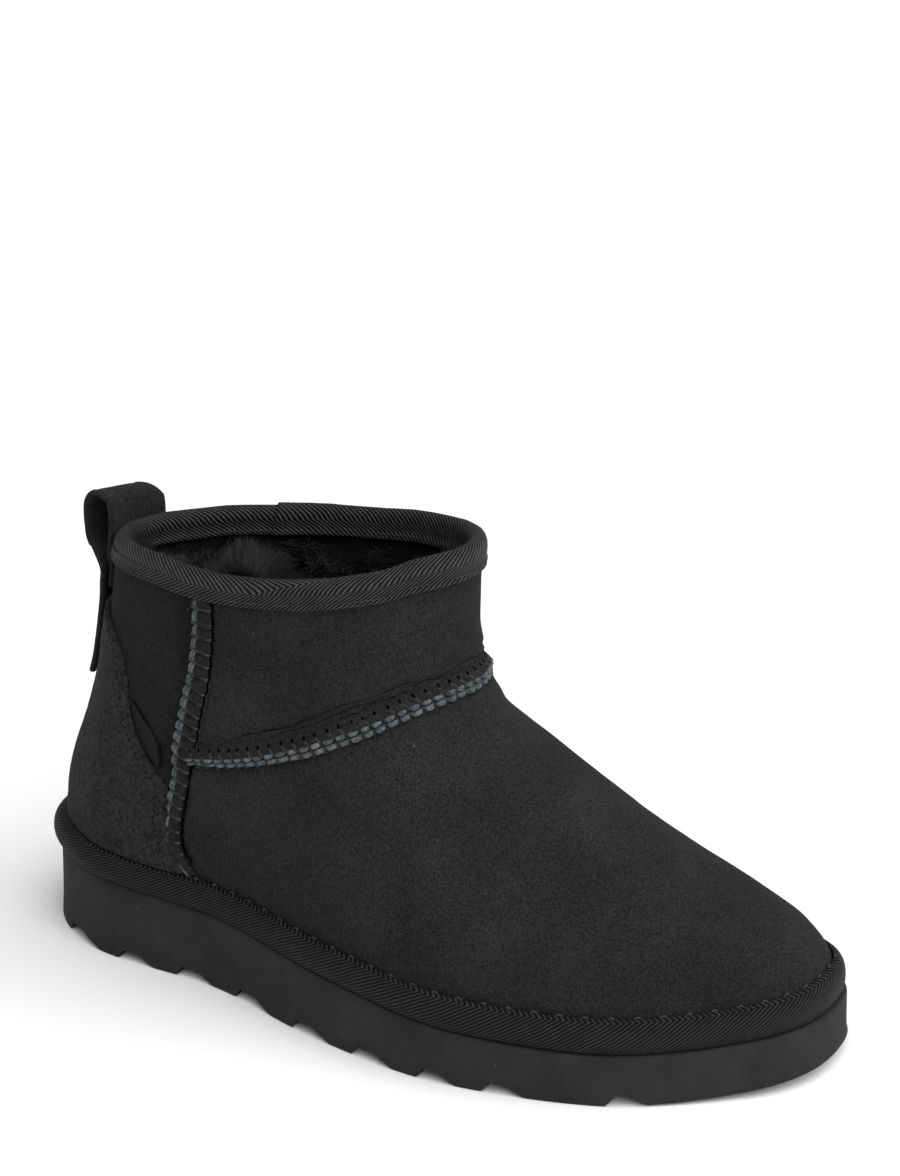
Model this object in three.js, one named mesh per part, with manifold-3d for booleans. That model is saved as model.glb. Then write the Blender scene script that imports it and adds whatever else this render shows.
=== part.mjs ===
// Sheepskin ankle boot, right foot. Millimetres, +Z up, +X to the toe, +Y to the inner side.
import * as THREE from "three";
import Module from "manifold-3d";

const wasm = await Module();
wasm.setup();
const { Manifold } = wasm;

// ---- driving dimensions ---------------------------------------------------------------
const SOLE_LENGTH = 270.5;        // outsole, heel end to toe tip
const COLLAR_Z = 140;             // rim of the shaft above the floor, at COLLAR_X
const COLLAR_X = 90;              // middle of the collar, from the heel end
const COLLAR_TILT = 0.045;         // rise of the rim per millimetre towards the toe
const WALL = 8.5;                 // suede and its wool in the foot
const WALL_RIM = 3.2;             // suede and pressed wool under the collar binding
const GAP = 0.3;                  // air between curved pieces that touch in the real boot
const LUG_DEPTH = 3.4;            // grooves across the tread
const FLARE = 1.0;                // how far the sole wall leans out at the floor
const ROLL_OUT = 2.6;             // taped roll, out past the sole's edge at the heel
const ROLL_OUT_TOE = -0.6;        // the same at the toe
const ROLL_HEEL = 9.0;            // height of the taped roll at the heel
const ROLL_TOE = 10.5;            // and at the toe
const SOCK = 7.0;                 // sheepskin sock on the deck
const SEAT = 0.5;                 // air under the heel counter, whose facets are its own
const COUNTER = 1.5;              // thickness of the suede heel counter
const TAPE = 0.9;                 // thickness of the woven binding
const BIND_OUT = 7.6;             // binding, height of the outer leg
const BIND_IN = 8.5;              // and of the inner leg
const TAG_THICK = 1.5;            // folded side tag
const LOOP_WIDE = 26;             // pull loop, width of the strip
const LOOP_THICK = 2.0;           // and its thickness
const LOOP_Y = -2.4;              // middle of the strip, from the heel's middle line
const LOOP_LEAN = 0.15;           // how much lower the loop's inner side hangs
const AROUND = 60;                // facets round the boot

// Sole's deck: height above the floor along the boot, and the floor line with its toe spring.
const DECK = [
  // x,    top,  floor
  [0, 29.4, 0.9], [8, 28.9, 0], [50, 26.0, 0], [100, 23.7, 0], [140, 20.4, 0], [180, 16.6, 0],
  [215, 15.6, 0], [240, 16.4, 0.9], [258, 18.0, 2.6], [272, 19.6, 4.6],
];

// The rim isn't level: how far it stands over the collar's plane at each turn, and the level
// from which the shaft's top is drawn up or down to it.
const RISE_FROM = 0.70;           // level from which the rim's rise and fall reaches down
const RIM_RISE = [
  // turn, rise
  [0, 0.2], [15, 0.9], [35, 2.2], [60, 2.3], [75, 1.1], [90, 0.1], [105, 0], [120, 0.3], [135, 1.4],
  [150, 4.1], [165, 4.8], [180, 4.9], [210, 4.0], [240, 1.8], [270, 0.2], [300, -1.2], [330, -1.0],
  [345, -0.4], [360, 0.2],
];

// Lugs across the tread: where each flat starts and ends, from the heel end.
const LUGS = [[4, 15], [32.5, 41], [55, 64.5], [79, 89], [104.5, 115], [130.5, 139.5],
  [154.5, 163.5], [176, 184.5], [197, 220.5], [231, 262]];

// Plan of the sole and of the upper at each level: level 0 is the deck, level 1 is the collar.
// back, front: ends of the ring; cb, cf: its middle line there; q: how square its ends are.
// o.. outer (little toe) half widths, i.. inner half widths, at the stations below.
const STATIONS = [0.10, 0.28, 0.46, 0.64, 0.80, 0.93];
const SOLE = { back: 0, front: SOLE_LENGTH, cb: 0, cf: 8, q: 0.80,
  o: [35.6, 41.0, 55.8, 63.0, 55.6, 35.2], i: [35.4, 34.6, 33.4, 40.6, 39.0, 27.0] };
const RINGS = [
  // level back front  cb    cf   q     outer half widths                     inner half widths
  [0.00, 3.4, 267, 0.0, 8.0, 0.80, [33, 38, 52.5, 59.5, 52, 33], [33, 31.5, 30.5, 37.5, 36, 24.5]],
  [0.08, 4.2, 265.5, 0.0, 8.0, 0.80, [33.5, 38.5, 52.5, 59.5, 52, 33], [33.5, 32, 31, 38, 36.5, 25]],
  [0.15, 5.2, 259, 0.0, 7.5, 0.82, [33.5, 39, 51.5, 58, 50, 31], [33.5, 33, 33, 39, 36, 24.5]],
  [0.22, 6.4, 245, -0.3, 6.0, 0.85, [33, 39, 49.5, 54.5, 46, 28], [33, 34, 35.5, 39.5, 36, 23.5]],
  [0.30, 9.0, 225, -0.8, 4.0, 0.88, [31.5, 38.5, 46, 49, 41, 25], [31.5, 35.5, 37.5, 39, 34.5, 22.5]],
  [0.40, 13.4, 202, -1.5, 1.5, 0.92, [29.5, 37.5, 42.5, 43.5, 36, 22], [29.5, 36, 38.5, 38.6, 33.4, 21.6]],
  [0.50, 17.8, 181, -2.5, -0.5, 0.95, [28, 36.5, 40.5, 40, 33, 20.5], [28, 36, 38.8, 38.2, 32.4, 20.8]],
  [0.60, 21.4, 161, -3.2, -2.5, 0.97, [26.6, 36, 39.8, 38.6, 32.5, 21], [26.6, 35.6, 39, 38, 32, 20.5]],
  [0.70, 23.8, 153.5, -3.6, -3.6, 1.0, [26, 36.2, 40, 38.8, 33, 21.6], [26, 36, 39.6, 38.4, 32.6, 21.2]],
  [0.80, 26.2, 151.5, -4.0, -4.0, 1.0, [25.6, 36.6, 40.4, 39.2, 32.4, 20.2], [25.6, 36.4, 40, 38.8, 32.6, 21]],
  [1.00, 29.5, 152.5, -4.0, -4.0, 1.0, [24.6, 36.6, 41, 39.2, 30.8, 17.6], [25.2, 37, 41, 39.6, 33, 21.2]],
];
const OUTER_LEVELS = [0, 0.045, 0.09, 0.13, 0.17, 0.21, 0.25, 0.30, 0.35, 0.40, 0.45, 0.50, 0.56,
  0.62, 0.68, 0.74, 0.81, 0.89];
const INNER_LEVELS = [0, 0.07, 0.14, 0.19, 0.24, 0.30, 0.37, 0.44, 0.51, 0.59, 0.67, 0.76, 0.88, 0.95];

// Heel counter: how far it reaches round the heel, in degrees of turn, at each level.
const COUNTER_EDGE = [
  // level, turn
  [0, 58.5], [0.12, 57.5], [0.20, 57.5], [0.28, 59], [0.345, 60.5], [0.395, 57.5], [0.45, 54],
  [0.53, 51.5], [0.61, 51], [0.68, 49.5], [0.73, 45], [0.765, 37], [0.785, 28], [0.80, 18],
];
const COUNTER_ROWS = [0, 0.06, 0.13, 0.18, 0.25, 0.31, 0.35, 0.395, 0.45, 0.53, 0.61, 0.67, 0.705,
  0.73, 0.75, 0.765, 0.78, 0.79, 0.80];

// Pull loop: middle of the strip along its run, as height over the rim and distance off the skin.
const LOOP_RUN = [
  // over the rim, off the skin
  [-18.5, 1.5], [-15, 1.5], [-11.5, 1.7], [-8.8, 2.8], [-3, 2.8], [1, 2.8], [4.5, 2.8], [7.4, 3.3],
  [9.4, 4.8], [10.2, 6.9], [9.4, 9.0], [7.0, 10.6], [3.6, 11.1], [0, 10.9], [-3.5, 9.8], [-7, 7.7],
  [-10.5, 5.8], [-14, 4.6], [-18, 4.3], [-22, 4.0], [-27, 3.7], [-33, 3.6], [-41, 3.6], [-49, 3.6],
];

// Side tag: rows down its sewn edge, each from the counter's edge to the fold, in turn and level.
const TAG_ROWS = [
  // level, sewn turn, folded turn
  [0.577, 52.6, 53.8], [0.535, 52.6, 57.2], [0.490, 53.6, 60.4], [0.445, 55.4, 60.8],
  [0.405, 58.4, 59.8],
];

const COLOURS = { outsole: 0x2e2f2f, roll: 0x2b2c2d, sock: 0x141414, suede: 0x2d2e2e,
  counter: 0x2f3030, tape: 0x303132, loop: 0x303030, tag: 0x3a3a3a };

// ---- small helpers --------------------------------------------------------------------
const lerp = (a, b, u) => a + (b - a) * u;
const clamp = (v, a, b) => Math.min(b, Math.max(a, v));

// Smooth curve through knots (xs ascending), with slopes limited so that it never overshoots.
function through(xs, ys, x) {
  const n = xs.length;
  if (x <= xs[0]) return ys[0];
  if (x >= xs[n - 1]) return ys[n - 1];
  let k = 0;
  while (x > xs[k + 1]) k++;
  const cut = (j) => (ys[j + 1] - ys[j]) / (xs[j + 1] - xs[j]);
  const slope = (j) => {
    if (j === 0) return cut(0);
    if (j === n - 1) return cut(n - 2);
    const a = cut(j - 1), b = cut(j);
    return a * b <= 0 ? 0 : (3 * (xs[j + 1] - xs[j - 1])) /
      ((2 * xs[j + 1] - xs[j] - xs[j - 1]) / a + (xs[j + 1] + xs[j] - 2 * xs[j - 1]) / b);
  };
  const h = xs[k + 1] - xs[k], u = (x - xs[k]) / h;
  const a = slope(k) * h, b = slope(k + 1) * h, d = ys[k + 1] - ys[k];
  return ys[k] + u * (a + u * (3 * d - 2 * a - b + u * (a + b - 2 * d)));
}

const deckTop = (x) => through(DECK.map((r) => r[0]), DECK.map((r) => r[1]), x);
const floorLine = (x) => through(DECK.map((r) => r[0]), DECK.map((r) => r[2]), x);
const collarPlane = (x) => COLLAR_Z + COLLAR_TILT * (x - COLLAR_X);
function rimRise(a, level) {
  const turn = ((a * 180) / Math.PI + 720) % 360;
  const u = clamp((level - RISE_FROM) / (1 - RISE_FROM), 0, 1);
  return through(RIM_RISE.map((r) => r[0]), RIM_RISE.map((r) => r[1]), turn) * u * u * (3 - 2 * u);
}

// Plan point of a ring at turn a: 0 at the back centre, PI at the toe, the outer side first.
function ringPoint(ring, a) {
  const s = (1 - Math.cos(a)) / 2;
  const x = lerp(ring.back, ring.front, s);
  const middle = lerp(ring.cb, ring.cf, s * s);
  const row = Math.sin(a) >= 0 ? ring.o : ring.i;
  const full = row.map((w, k) => w / Math.pow(2 * Math.sqrt(STATIONS[k] * (1 - STATIONS[k])), ring.q));
  const w = through(STATIONS, full, s) * Math.pow(Math.abs(Math.sin(a)), ring.q);
  return [x, middle - Math.sign(Math.sin(a)) * w];
}

const LEVELS = RINGS.map((r) => r[0]);
function ringAt(level) {
  const get = (f) => through(LEVELS, RINGS.map(f), level);
  return { back: get((r) => r[1]), front: get((r) => r[2]), cb: get((r) => r[3]), cf: get((r) => r[4]),
    q: get((r) => r[5]), o: STATIONS.map((_, k) => get((r) => r[6][k])),
    i: STATIONS.map((_, k) => get((r) => r[7][k])) };
}
const ringMemo = new Map();
function ringOf(level) {
  const key = level.toFixed(5);
  if (!ringMemo.has(key)) ringMemo.set(key, ringAt(level));
  return ringMemo.get(key);
}

// The upper's outside: turn a round the boot and level from the deck to the collar.
function skin(a, level) {
  const l = clamp(level, 0, 1);
  const [x, y] = ringPoint(ringOf(l), a);
  const low = deckTop(x) + GAP, high = collarPlane(x);
  return new THREE.Vector3(x, y, lerp(low, high, level) + rimRise(a, l));
}
function skinNormal(a, level) {
  const da = 0.012, dl = 0.006;
  const l = clamp(level, dl, 1 - dl);
  const t = skin(a + da, l).sub(skin(a - da, l));
  const u = skin(a, l + dl).sub(skin(a, l - dl));
  return t.cross(u).normalize();
}
// A point off the outside by d; negative goes into the wall.
function off(a, level, d) {
  return skin(a, level).addScaledVector(skinNormal(a, level), d);
}
const THIN_FROM = 0.8;             // level from which the wall thins towards the rim
const THIN_RUN = 0.15;            // and over how much level
const wallAt = (level) => lerp(WALL, WALL_RIM, clamp((level - THIN_FROM) / THIN_RUN, 0, 1));

// ---- solids from rings ----------------------------------------------------------------
const turns = Array.from({ length: AROUND }, (_, k) => (2 * Math.PI * (k + 0.5)) / AROUND);

// Closed tube of rings: every ring has the same count, the last ring joins the first.
function closedRings(rings) {
  const n = rings[0].length, m = rings.length, pos = [], idx = [];
  for (const ring of rings) for (const p of ring) pos.push(p.x, p.y, p.z);
  for (let r = 0; r < m; r++) {
    const q = (r + 1) % m;
    for (let k = 0; k < n; k++) {
      const j = (k + 1) % n;
      idx.push(r * n + k, r * n + j, q * n + j, r * n + k, q * n + j, q * n + k);
    }
  }
  return solid(pos, idx);
}
// Capped stack of rings, bottom first. A cap is a ladder whose rungs run across the boot.
function cappedRings(rings) {
  const n = rings[0].length, m = rings.length, pos = [], idx = [];
  for (const ring of rings) for (const p of ring) pos.push(p.x, p.y, p.z);
  for (let r = 0; r < m - 1; r++) for (let k = 0; k < n; k++) {
    const j = (k + 1) % n, q = r + 1;
    idx.push(r * n + k, r * n + j, q * n + j, r * n + k, q * n + j, q * n + k);
  }
  for (const [r, flip] of [[0, true], [m - 1, false]]) {
    for (let k = 0; k < n / 2 - 1; k++) {
      const a = r * n + k, b = a + 1, c = r * n + n - 1 - k, d = c - 1;
      if (flip) idx.push(a, c, b, b, c, d); else idx.push(a, b, c, b, d, c);
    }
  }
  return solid(pos, idx);
}
// Slab between two grids of the same size (rows of points), closed round its edge.
function slab(front, back) {
  const m = front.length, n = front[0].length, pos = [], idx = [];
  for (const g of [front, back]) for (const row of g) for (const p of row) pos.push(p.x, p.y, p.z);
  const F = (r, k) => r * n + k, B = (r, k) => m * n + r * n + k;
  for (let r = 0; r < m - 1; r++) for (let k = 0; k < n - 1; k++) {
    idx.push(F(r, k), F(r, k + 1), F(r + 1, k + 1), F(r, k), F(r + 1, k + 1), F(r + 1, k));
    idx.push(B(r, k), B(r + 1, k + 1), B(r, k + 1), B(r, k), B(r + 1, k), B(r + 1, k + 1));
  }
  const wall = (f0, f1, b0, b1) => idx.push(f1, f0, b0, f1, b0, b1);
  for (let k = 0; k < n - 1; k++) {
    wall(F(0, k), F(0, k + 1), B(0, k), B(0, k + 1));
    wall(F(m - 1, k + 1), F(m - 1, k), B(m - 1, k + 1), B(m - 1, k));
  }
  for (let r = 0; r < m - 1; r++) {
    wall(F(r + 1, 0), F(r, 0), B(r + 1, 0), B(r, 0));
    wall(F(r, n - 1), F(r + 1, n - 1), B(r, n - 1), B(r + 1, n - 1));
  }
  return solid(pos, idx);
}
// Geometry with its faces turned outwards.
function solid(pos, idx) {
  let v = 0;
  for (let k = 0; k < idx.length; k += 3) {
    const [a, b, c] = [idx[k] * 3, idx[k + 1] * 3, idx[k + 2] * 3];
    v += pos[a] * (pos[b + 1] * pos[c + 2] - pos[b + 2] * pos[c + 1])
      - pos[a + 1] * (pos[b] * pos[c + 2] - pos[b + 2] * pos[c])
      + pos[a + 2] * (pos[b] * pos[c + 1] - pos[b + 1] * pos[c]);
  }
  const tri = idx.slice();
  if (v < 0) for (let k = 0; k < tri.length; k += 3) [tri[k], tri[k + 1]] = [tri[k + 1], tri[k]];
  const g = new THREE.BufferGeometry();
  g.setAttribute("position", new THREE.Float32BufferAttribute(pos, 3));
  g.setIndex(tri);
  return g;
}
const toManifold = (g) => new Manifold(new wasm.Mesh({ numProp: 3,
  vertProperties: new Float32Array(g.getAttribute("position").array),
  triVerts: new Uint32Array(g.getIndex().array) }));
function fromManifold(m) {
  const mesh = m.getMesh(), pos = [];
  for (let k = 0; k < mesh.numVert; k++) for (let c = 0; c < 3; c++) {
    pos.push(mesh.vertProperties[k * mesh.numProp + c]);
  }
  return solid(pos, Array.from(mesh.triVerts));
}

// ---- outsole: wedge with its tread cut right across -------------------------------------
function outline(ring, turn, grow) {
  const p = ringPoint(ring, turn), e = 0.01;
  const p0 = ringPoint(ring, turn - e), p1 = ringPoint(ring, turn + e);
  const tx = p1[0] - p0[0], ty = p1[1] - p0[1], l = Math.hypot(tx, ty) || 1;
  return [p[0] + (ty / l) * grow, p[1] - (tx / l) * grow];
}
const SOLE_WALL = [
  // height, out past the sole's plan
  [-2, FLARE], [1, FLARE], [9, 0.35], [17, 0.1], [40, 0],
];
const TOP_KNOTS = [-4, 8, 30, 50, 75, 100, 120, 140, 160, 180, 200, 215, 228, 240, 250, 258, 266, 276];
const VALLEY = 0.52;              // where each groove's gentle slope starts, between two lugs
const STEEP = 1.6;                // run of its steep side
const HALF_WIDTH = 90;            // of the prism that cuts the tread
const LONG_LUG = 20;              // lugs longer than this bend in their middle
const HEEL_LIFT = 0.6;            // how far the tread's line rises behind the first lug
const TOE_LIFT = 1.6;             // and in front of the last one
const TOE_LIFT_X = 264;
function makeOutsole() {
  const body = cappedRings(SOLE_WALL.map(([z, grow]) => turns.map((a) => {
    const [x, y] = outline(SOLE, a, grow);
    return new THREE.Vector3(x, y, z);
  })));
  const under = [];
  const tread = (x, up = 0) => under.push([x, floorLine(x) + up]);
  LUGS.forEach(([x0, x1], k) => {
    if (k > 0) tread(lerp(LUGS[k - 1][1], x0, VALLEY), LUG_DEPTH);
    tread(x0);
    if (x1 - x0 > LONG_LUG) tread((x0 + x1) / 2);
    tread(x1);
    if (k < LUGS.length - 1) tread(x1 + STEEP, LUG_DEPTH);
  });
  const ends = [TOP_KNOTS[0], TOP_KNOTS[TOP_KNOTS.length - 1]];
  const side = [[ends[0], floorLine(0) + HEEL_LIFT], ...under,
    [ends[1], floorLine(TOE_LIFT_X) + TOE_LIFT],
    ...TOP_KNOTS.slice().reverse().map((x) => [x, deckTop(x)])];
  const shape = new THREE.Shape(side.map(([x, z]) => new THREE.Vector2(x, z)));
  const prism = new THREE.ExtrudeGeometry(shape, { depth: 2 * HALF_WIDTH, bevelEnabled: false, steps: 1 });
  const pos = prism.getAttribute("position"), weld = new Map(), out = [], idx = [];
  for (let k = 0; k < pos.count; k++) {
    const p = [pos.getX(k), HALF_WIDTH - pos.getZ(k), pos.getY(k)];
    const key = p.map((v) => v.toFixed(4)).join();
    if (!weld.has(key)) {
      weld.set(key, out.length / 3);
      out.push(...p);
    }
    idx.push(weld.get(key));
  }
  return fromManifold(toManifold(body).intersect(toManifold(solid(out, idx))));
}

// ---- taped roll round the feather line ---------------------------------------------------
const ROLL_SHAPE = [
  // out: 0 at the upper, 1 at the widest; up: fraction of the height
  [0.00, 0.00], [0.62, 0.00], [0.90, 0.12], [1.00, 0.34], [0.97, 0.58], [0.80, 0.80],
  [0.50, 0.95], [0.16, 1.00], [0.00, 0.97],
];
const rollHeight = (x) => lerp(ROLL_HEEL, ROLL_TOE, clamp(x / SOLE_LENGTH, 0, 1));
function levelAtHeight(a, up) {
  const floor = skin(a, 0).z;
  let lo = 0, hi = 0.4;
  for (let k = 0; k < 24; k++) {
    const mid = (lo + hi) / 2;
    if (skin(a, mid).z - floor < up) lo = mid; else hi = mid;
  }
  return up <= 0 ? 0 : hi;
}
function rollPoint(a, [out, up]) {
  const base = skin(a, 0), part = clamp(base.x / SOLE_LENGTH, 0, 1);
  const level = levelAtHeight(a, rollHeight(base.x) * up);
  const p = skin(a, level), n = skinNormal(a, level);
  const side = new THREE.Vector3(n.x, n.y, 0).normalize();
  const edge = outline(SOLE, a, 0);
  const far = (edge[0] - p.x) * side.x + (edge[1] - p.y) * side.y + lerp(ROLL_OUT, ROLL_OUT_TOE, part);
  return p.addScaledVector(side, lerp(GAP / Math.max(0.4, n.dot(side)), far, out));
}
const makeRoll = () => closedRings(ROLL_SHAPE.map((row) => turns.map((a) => rollPoint(a, row))));

// ---- sock: lies on the deck inside the wall ----------------------------------------------
function innerAtHeight(a, up, inset) {
  const line = INNER_LEVELS.slice(0, 6).map((l) => innerPoint(a, l));
  const height = (p) => p.z - deckTop(p.x) - GAP;
  let k = 0;
  while (k < line.length - 2 && height(line[k + 1]) < up) k++;
  const h0 = height(line[k]), h1 = height(line[k + 1]);
  const p = line[k].clone().lerp(line[k + 1], clamp((up - h0) / (h1 - h0), 0, 1));
  const n = skinNormal(a, 0.02);
  n.z = 0;
  p.addScaledVector(n.normalize(), -inset);
  return p.setZ(deckTop(p.x) + GAP + up);
}
const SOCK_PLAY = 0.3;            // between the sock's edge and the wall, over the usual air
const SOCK_BEVEL = 1.6;           // height of its sloping upper edge
const SOCK_BEVEL_IN = 1.5;        // and how far that slopes in
function makeSock() {
  const ring = (inset, up) => turns.map((a) => innerAtHeight(a, up, inset));
  const edge = GAP + SOCK_PLAY;
  return cappedRings([ring(edge, 0), ring(edge, SOCK - SOCK_BEVEL), ring(edge + SOCK_BEVEL_IN, SOCK)]);
}

// ---- upper: one hollow wall, open at the collar and underneath ---------------------------
function innerPoint(a, level, grow = 0) {
  if (level > 0) return off(a, level, -wallAt(level) + grow);
  const p = skin(a, 0), n = skinNormal(a, 0.02);
  n.z = 0;
  n.normalize();
  const q = p.addScaledVector(n, -WALL + grow);
  return q.setZ(deckTop(q.x) + GAP);
}
const RIM_LEVEL = 0.965;          // last level of the wall before its rounded rim
const RIM_ROUND = 1.0;            // how far in from the wall's faces the rim is rounded
const RIM_FALL = 1.2;             // and how much lower it is there
function makeUpper() {
  const rim = (d, dz) => turns.map((a) => {
    const p = off(a, 1, d);
    return p.setZ(skin(a, 1).z + dz);
  });
  const w = WALL_RIM;
  const rings = OUTER_LEVELS.map((l) => turns.map((a) => skin(a, l)));
  rings.push(turns.map((a) => skin(a, RIM_LEVEL)));
  rings.push(rim(-RIM_ROUND, -RIM_FALL), rim(-w / 2, 0), rim(-w + RIM_ROUND, -RIM_FALL));
  rings.push(turns.map((a) => innerPoint(a, RIM_LEVEL)));
  for (const l of INNER_LEVELS.slice().reverse()) rings.push(turns.map((a) => innerPoint(a, l)));
  return closedRings(rings);
}

// ---- heel counter, cut between two skins of the upper -------------------------------------
const COUNTER_ACROSS = 21;        // columns of its grid
const COUNTER_LIFT = 0.6;         // air between its foot and the taped roll
const COUNTER_FOOT = 0.18;        // level up to which its rows follow that foot
function makeCounter() {
  const column = (k) => (2 * k) / (COUNTER_ACROSS - 1) - 1;
  const grid = (d) => COUNTER_ROWS.map((level) => Array.from({ length: COUNTER_ACROSS }, (_, k) => {
    const reach = through(COUNTER_EDGE.map((e) => e[0]), COUNTER_EDGE.map((e) => e[1]), level);
    const a = (column(k) * reach * Math.PI) / 180;
    const low = levelAtHeight(a, rollHeight(skin(a, 0).x) + COUNTER_LIFT);
    return off(a, level < COUNTER_FOOT ? lerp(low, COUNTER_FOOT, level / COUNTER_FOOT) : level, d);
  }));
  return slab(grid(SEAT + COUNTER), grid(SEAT));
}

// ---- woven binding over the rim ------------------------------------------------------------
const SHAFT = 115;                // height of the shaft over the deck, for lengths down from the rim
const FOLD = 3;                   // how far below the rim the outside of each leg starts
const FOLD_UNDER = 4;             // and its underside
const TOP_EDGE = 0.6;             // the fold's outside: how far in it turns, how much lower it is there
const TOP_FALL = 0.7;
const UNDER_EDGE = 0.7;           // the same on its underside, round the wall's rim
const UNDER_FALL = 0.9;
const UNDER_RISE = 0.1;           // extra air over the middle of the rim
function makeBinding() {
  const w = WALL_RIM, g = GAP, face = GAP + TAPE;
  const top = g + TAPE * 0.75 - TOP_FALL;
  const down = (mm) => 1 - mm / SHAFT;
  const rim = (d, dz) => turns.map((a) => off(a, 1, d).setZ(skin(a, 1).z + dz));
  const leg = (d, mm) => turns.map((a) => off(a, down(mm), d));
  const legIn = (d, mm) => turns.map((a) => off(a, down(mm), -wallAt(down(mm)) - d));
  return closedRings([
    leg(g, BIND_OUT), leg(face, BIND_OUT), leg(face, BIND_OUT / 2), leg(face, FOLD),
    rim(-TOP_EDGE, top), rim(-w / 2, face), rim(-w + TOP_EDGE, top),
    legIn(face, FOLD), legIn(face, BIND_IN), legIn(g, BIND_IN), legIn(g, FOLD_UNDER),
    rim(-w + UNDER_EDGE, g - UNDER_FALL), rim(-w / 2, g + UNDER_RISE), rim(-UNDER_EDGE, g - UNDER_FALL),
    leg(g, FOLD_UNDER), leg(g, BIND_OUT / 2),
  ]);
}

// ---- pull loop: one strip, folded over outside the back of the collar --------------------------
function turnAtY(level, y) {
  let lo = -1.1, hi = 1.1;
  for (let k = 0; k < 40; k++) {
    const mid = (lo + hi) / 2;
    if (skin(mid, level).y > y) lo = mid; else hi = mid;
  }
  return (lo + hi) / 2;
}
const LEVEL_FROM = -6;            // height over the rim from which the strip is set off level
const FREE_OUT = 3.6;             // distance off the skin from which it stops bending round the heel
const FREE_OUT_RUN = 4;           // and over how much more distance it flattens
const FREE_FROM = -14;            // the same for its height over the rim
const FREE_RUN = 8;
const FREE_MOST = 0.95;           // how flat it gets
const LEAN_FROM = -2;             // height over the rim from which the loop leans
const LEAN_RUN = 8;
function loopMiddle(over, out, u) {
  const span = skin(0, 1).z - skin(0, 0).z;
  const level = clamp(1 + over / span, 0, 1), rise = Math.max(over, 0);
  const y = LOOP_Y + (u * LOOP_WIDE) / 2;
  const a = turnAtY(level, y), a0 = turnAtY(level, LOOP_Y);
  const p = skin(a, level), p0 = skin(a0, level);
  const n = skinNormal(a, level), n0 = skinNormal(a0, level);
  if (over > LEVEL_FROM) {
    for (const v of [n, n0]) v.setZ(0).normalize();
  }
  const loose = clamp((out - FREE_OUT) / FREE_OUT_RUN, 0, FREE_MOST)
    * clamp((over - FREE_FROM) / FREE_RUN, 0, 1);
  p.addScaledVector(n, out);
  p0.addScaledVector(n0, out);
  return new THREE.Vector3(lerp(p.x, p0.x, loose), lerp(p.y, y, loose),
    lerp(p.z, p0.z, loose) + rise - LOOP_LEAN * (y - LOOP_Y) * clamp((over - LEAN_FROM) / LEAN_RUN, 0, 1));
}
function makeLoop() {
  const across = [-1, -0.6, -0.2, 0.2, 0.6, 1];
  const mids = LOOP_RUN.map(([over, out]) => across.map((u) => loopMiddle(over, out, u)));
  const m = mids.length, n = across.length;
  const face = (d) => mids.map((row, r) => row.map((p, k) => {
    const t = mids[Math.min(r + 1, m - 1)][k].clone().sub(mids[Math.max(r - 1, 0)][k]);
    const w = row[Math.min(k + 1, n - 1)].clone().sub(row[Math.max(k - 1, 0)]);
    return p.clone().addScaledVector(w.cross(t).normalize(), d);
  }));
  return slab(face(LOOP_THICK / 2), face(-LOOP_THICK / 2));
}

// ---- side tag: a small folded tape that lies by the counter's edge ----------------------------
const TAG_FOLD_THIN = 0.25;       // how much thinner the tag is at its fold
function makeTag() {
  const grid = (d) => TAG_ROWS.map(([level, sewn, fold]) => [0, 0.5, 1].map((u) =>
    off((lerp(sewn, fold, u) * Math.PI) / 180, level, GAP + d * (1 - TAG_FOLD_THIN * u * u))));
  return slab(grid(TAG_THICK), grid(0));
}

// ---- assembly --------------------------------------------------------------------------
const boot = new THREE.Group();
boot.name = "ankle_boot";
const parts = [
  ["outsole", makeOutsole(), COLOURS.outsole, 0.85],
  ["welt_roll", makeRoll(), COLOURS.roll, 0.9],
  ["sock", makeSock(), COLOURS.sock, 1.0],
  ["upper", makeUpper(), COLOURS.suede, 0.95],
  ["heel_counter", makeCounter(), COLOURS.counter, 0.95],
  ["collar_binding", makeBinding(), COLOURS.tape, 0.9],
  ["pull_loop", makeLoop(), COLOURS.loop, 0.95],
  ["side_tag", makeTag(), COLOURS.tag, 0.8],
];
const box = new THREE.Box3();
for (const [, g] of parts) {
  g.computeBoundingBox();
  box.union(g.boundingBox);
}
const shift = new THREE.Vector3(-(box.min.x + box.max.x) / 2, -(box.min.y + box.max.y) / 2, -box.min.z);
for (const [name, g, colour, roughness] of parts) {
  g.translate(shift.x, shift.y, shift.z);
  g.computeVertexNormals();
  const material = new THREE.MeshStandardMaterial({ color: colour, roughness, metalness: 0 });
  material.name = name;
  const mesh = new THREE.Mesh(g, material);
  mesh.name = name;
  boot.add(mesh);
}
export default boot;
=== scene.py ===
import math

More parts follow.
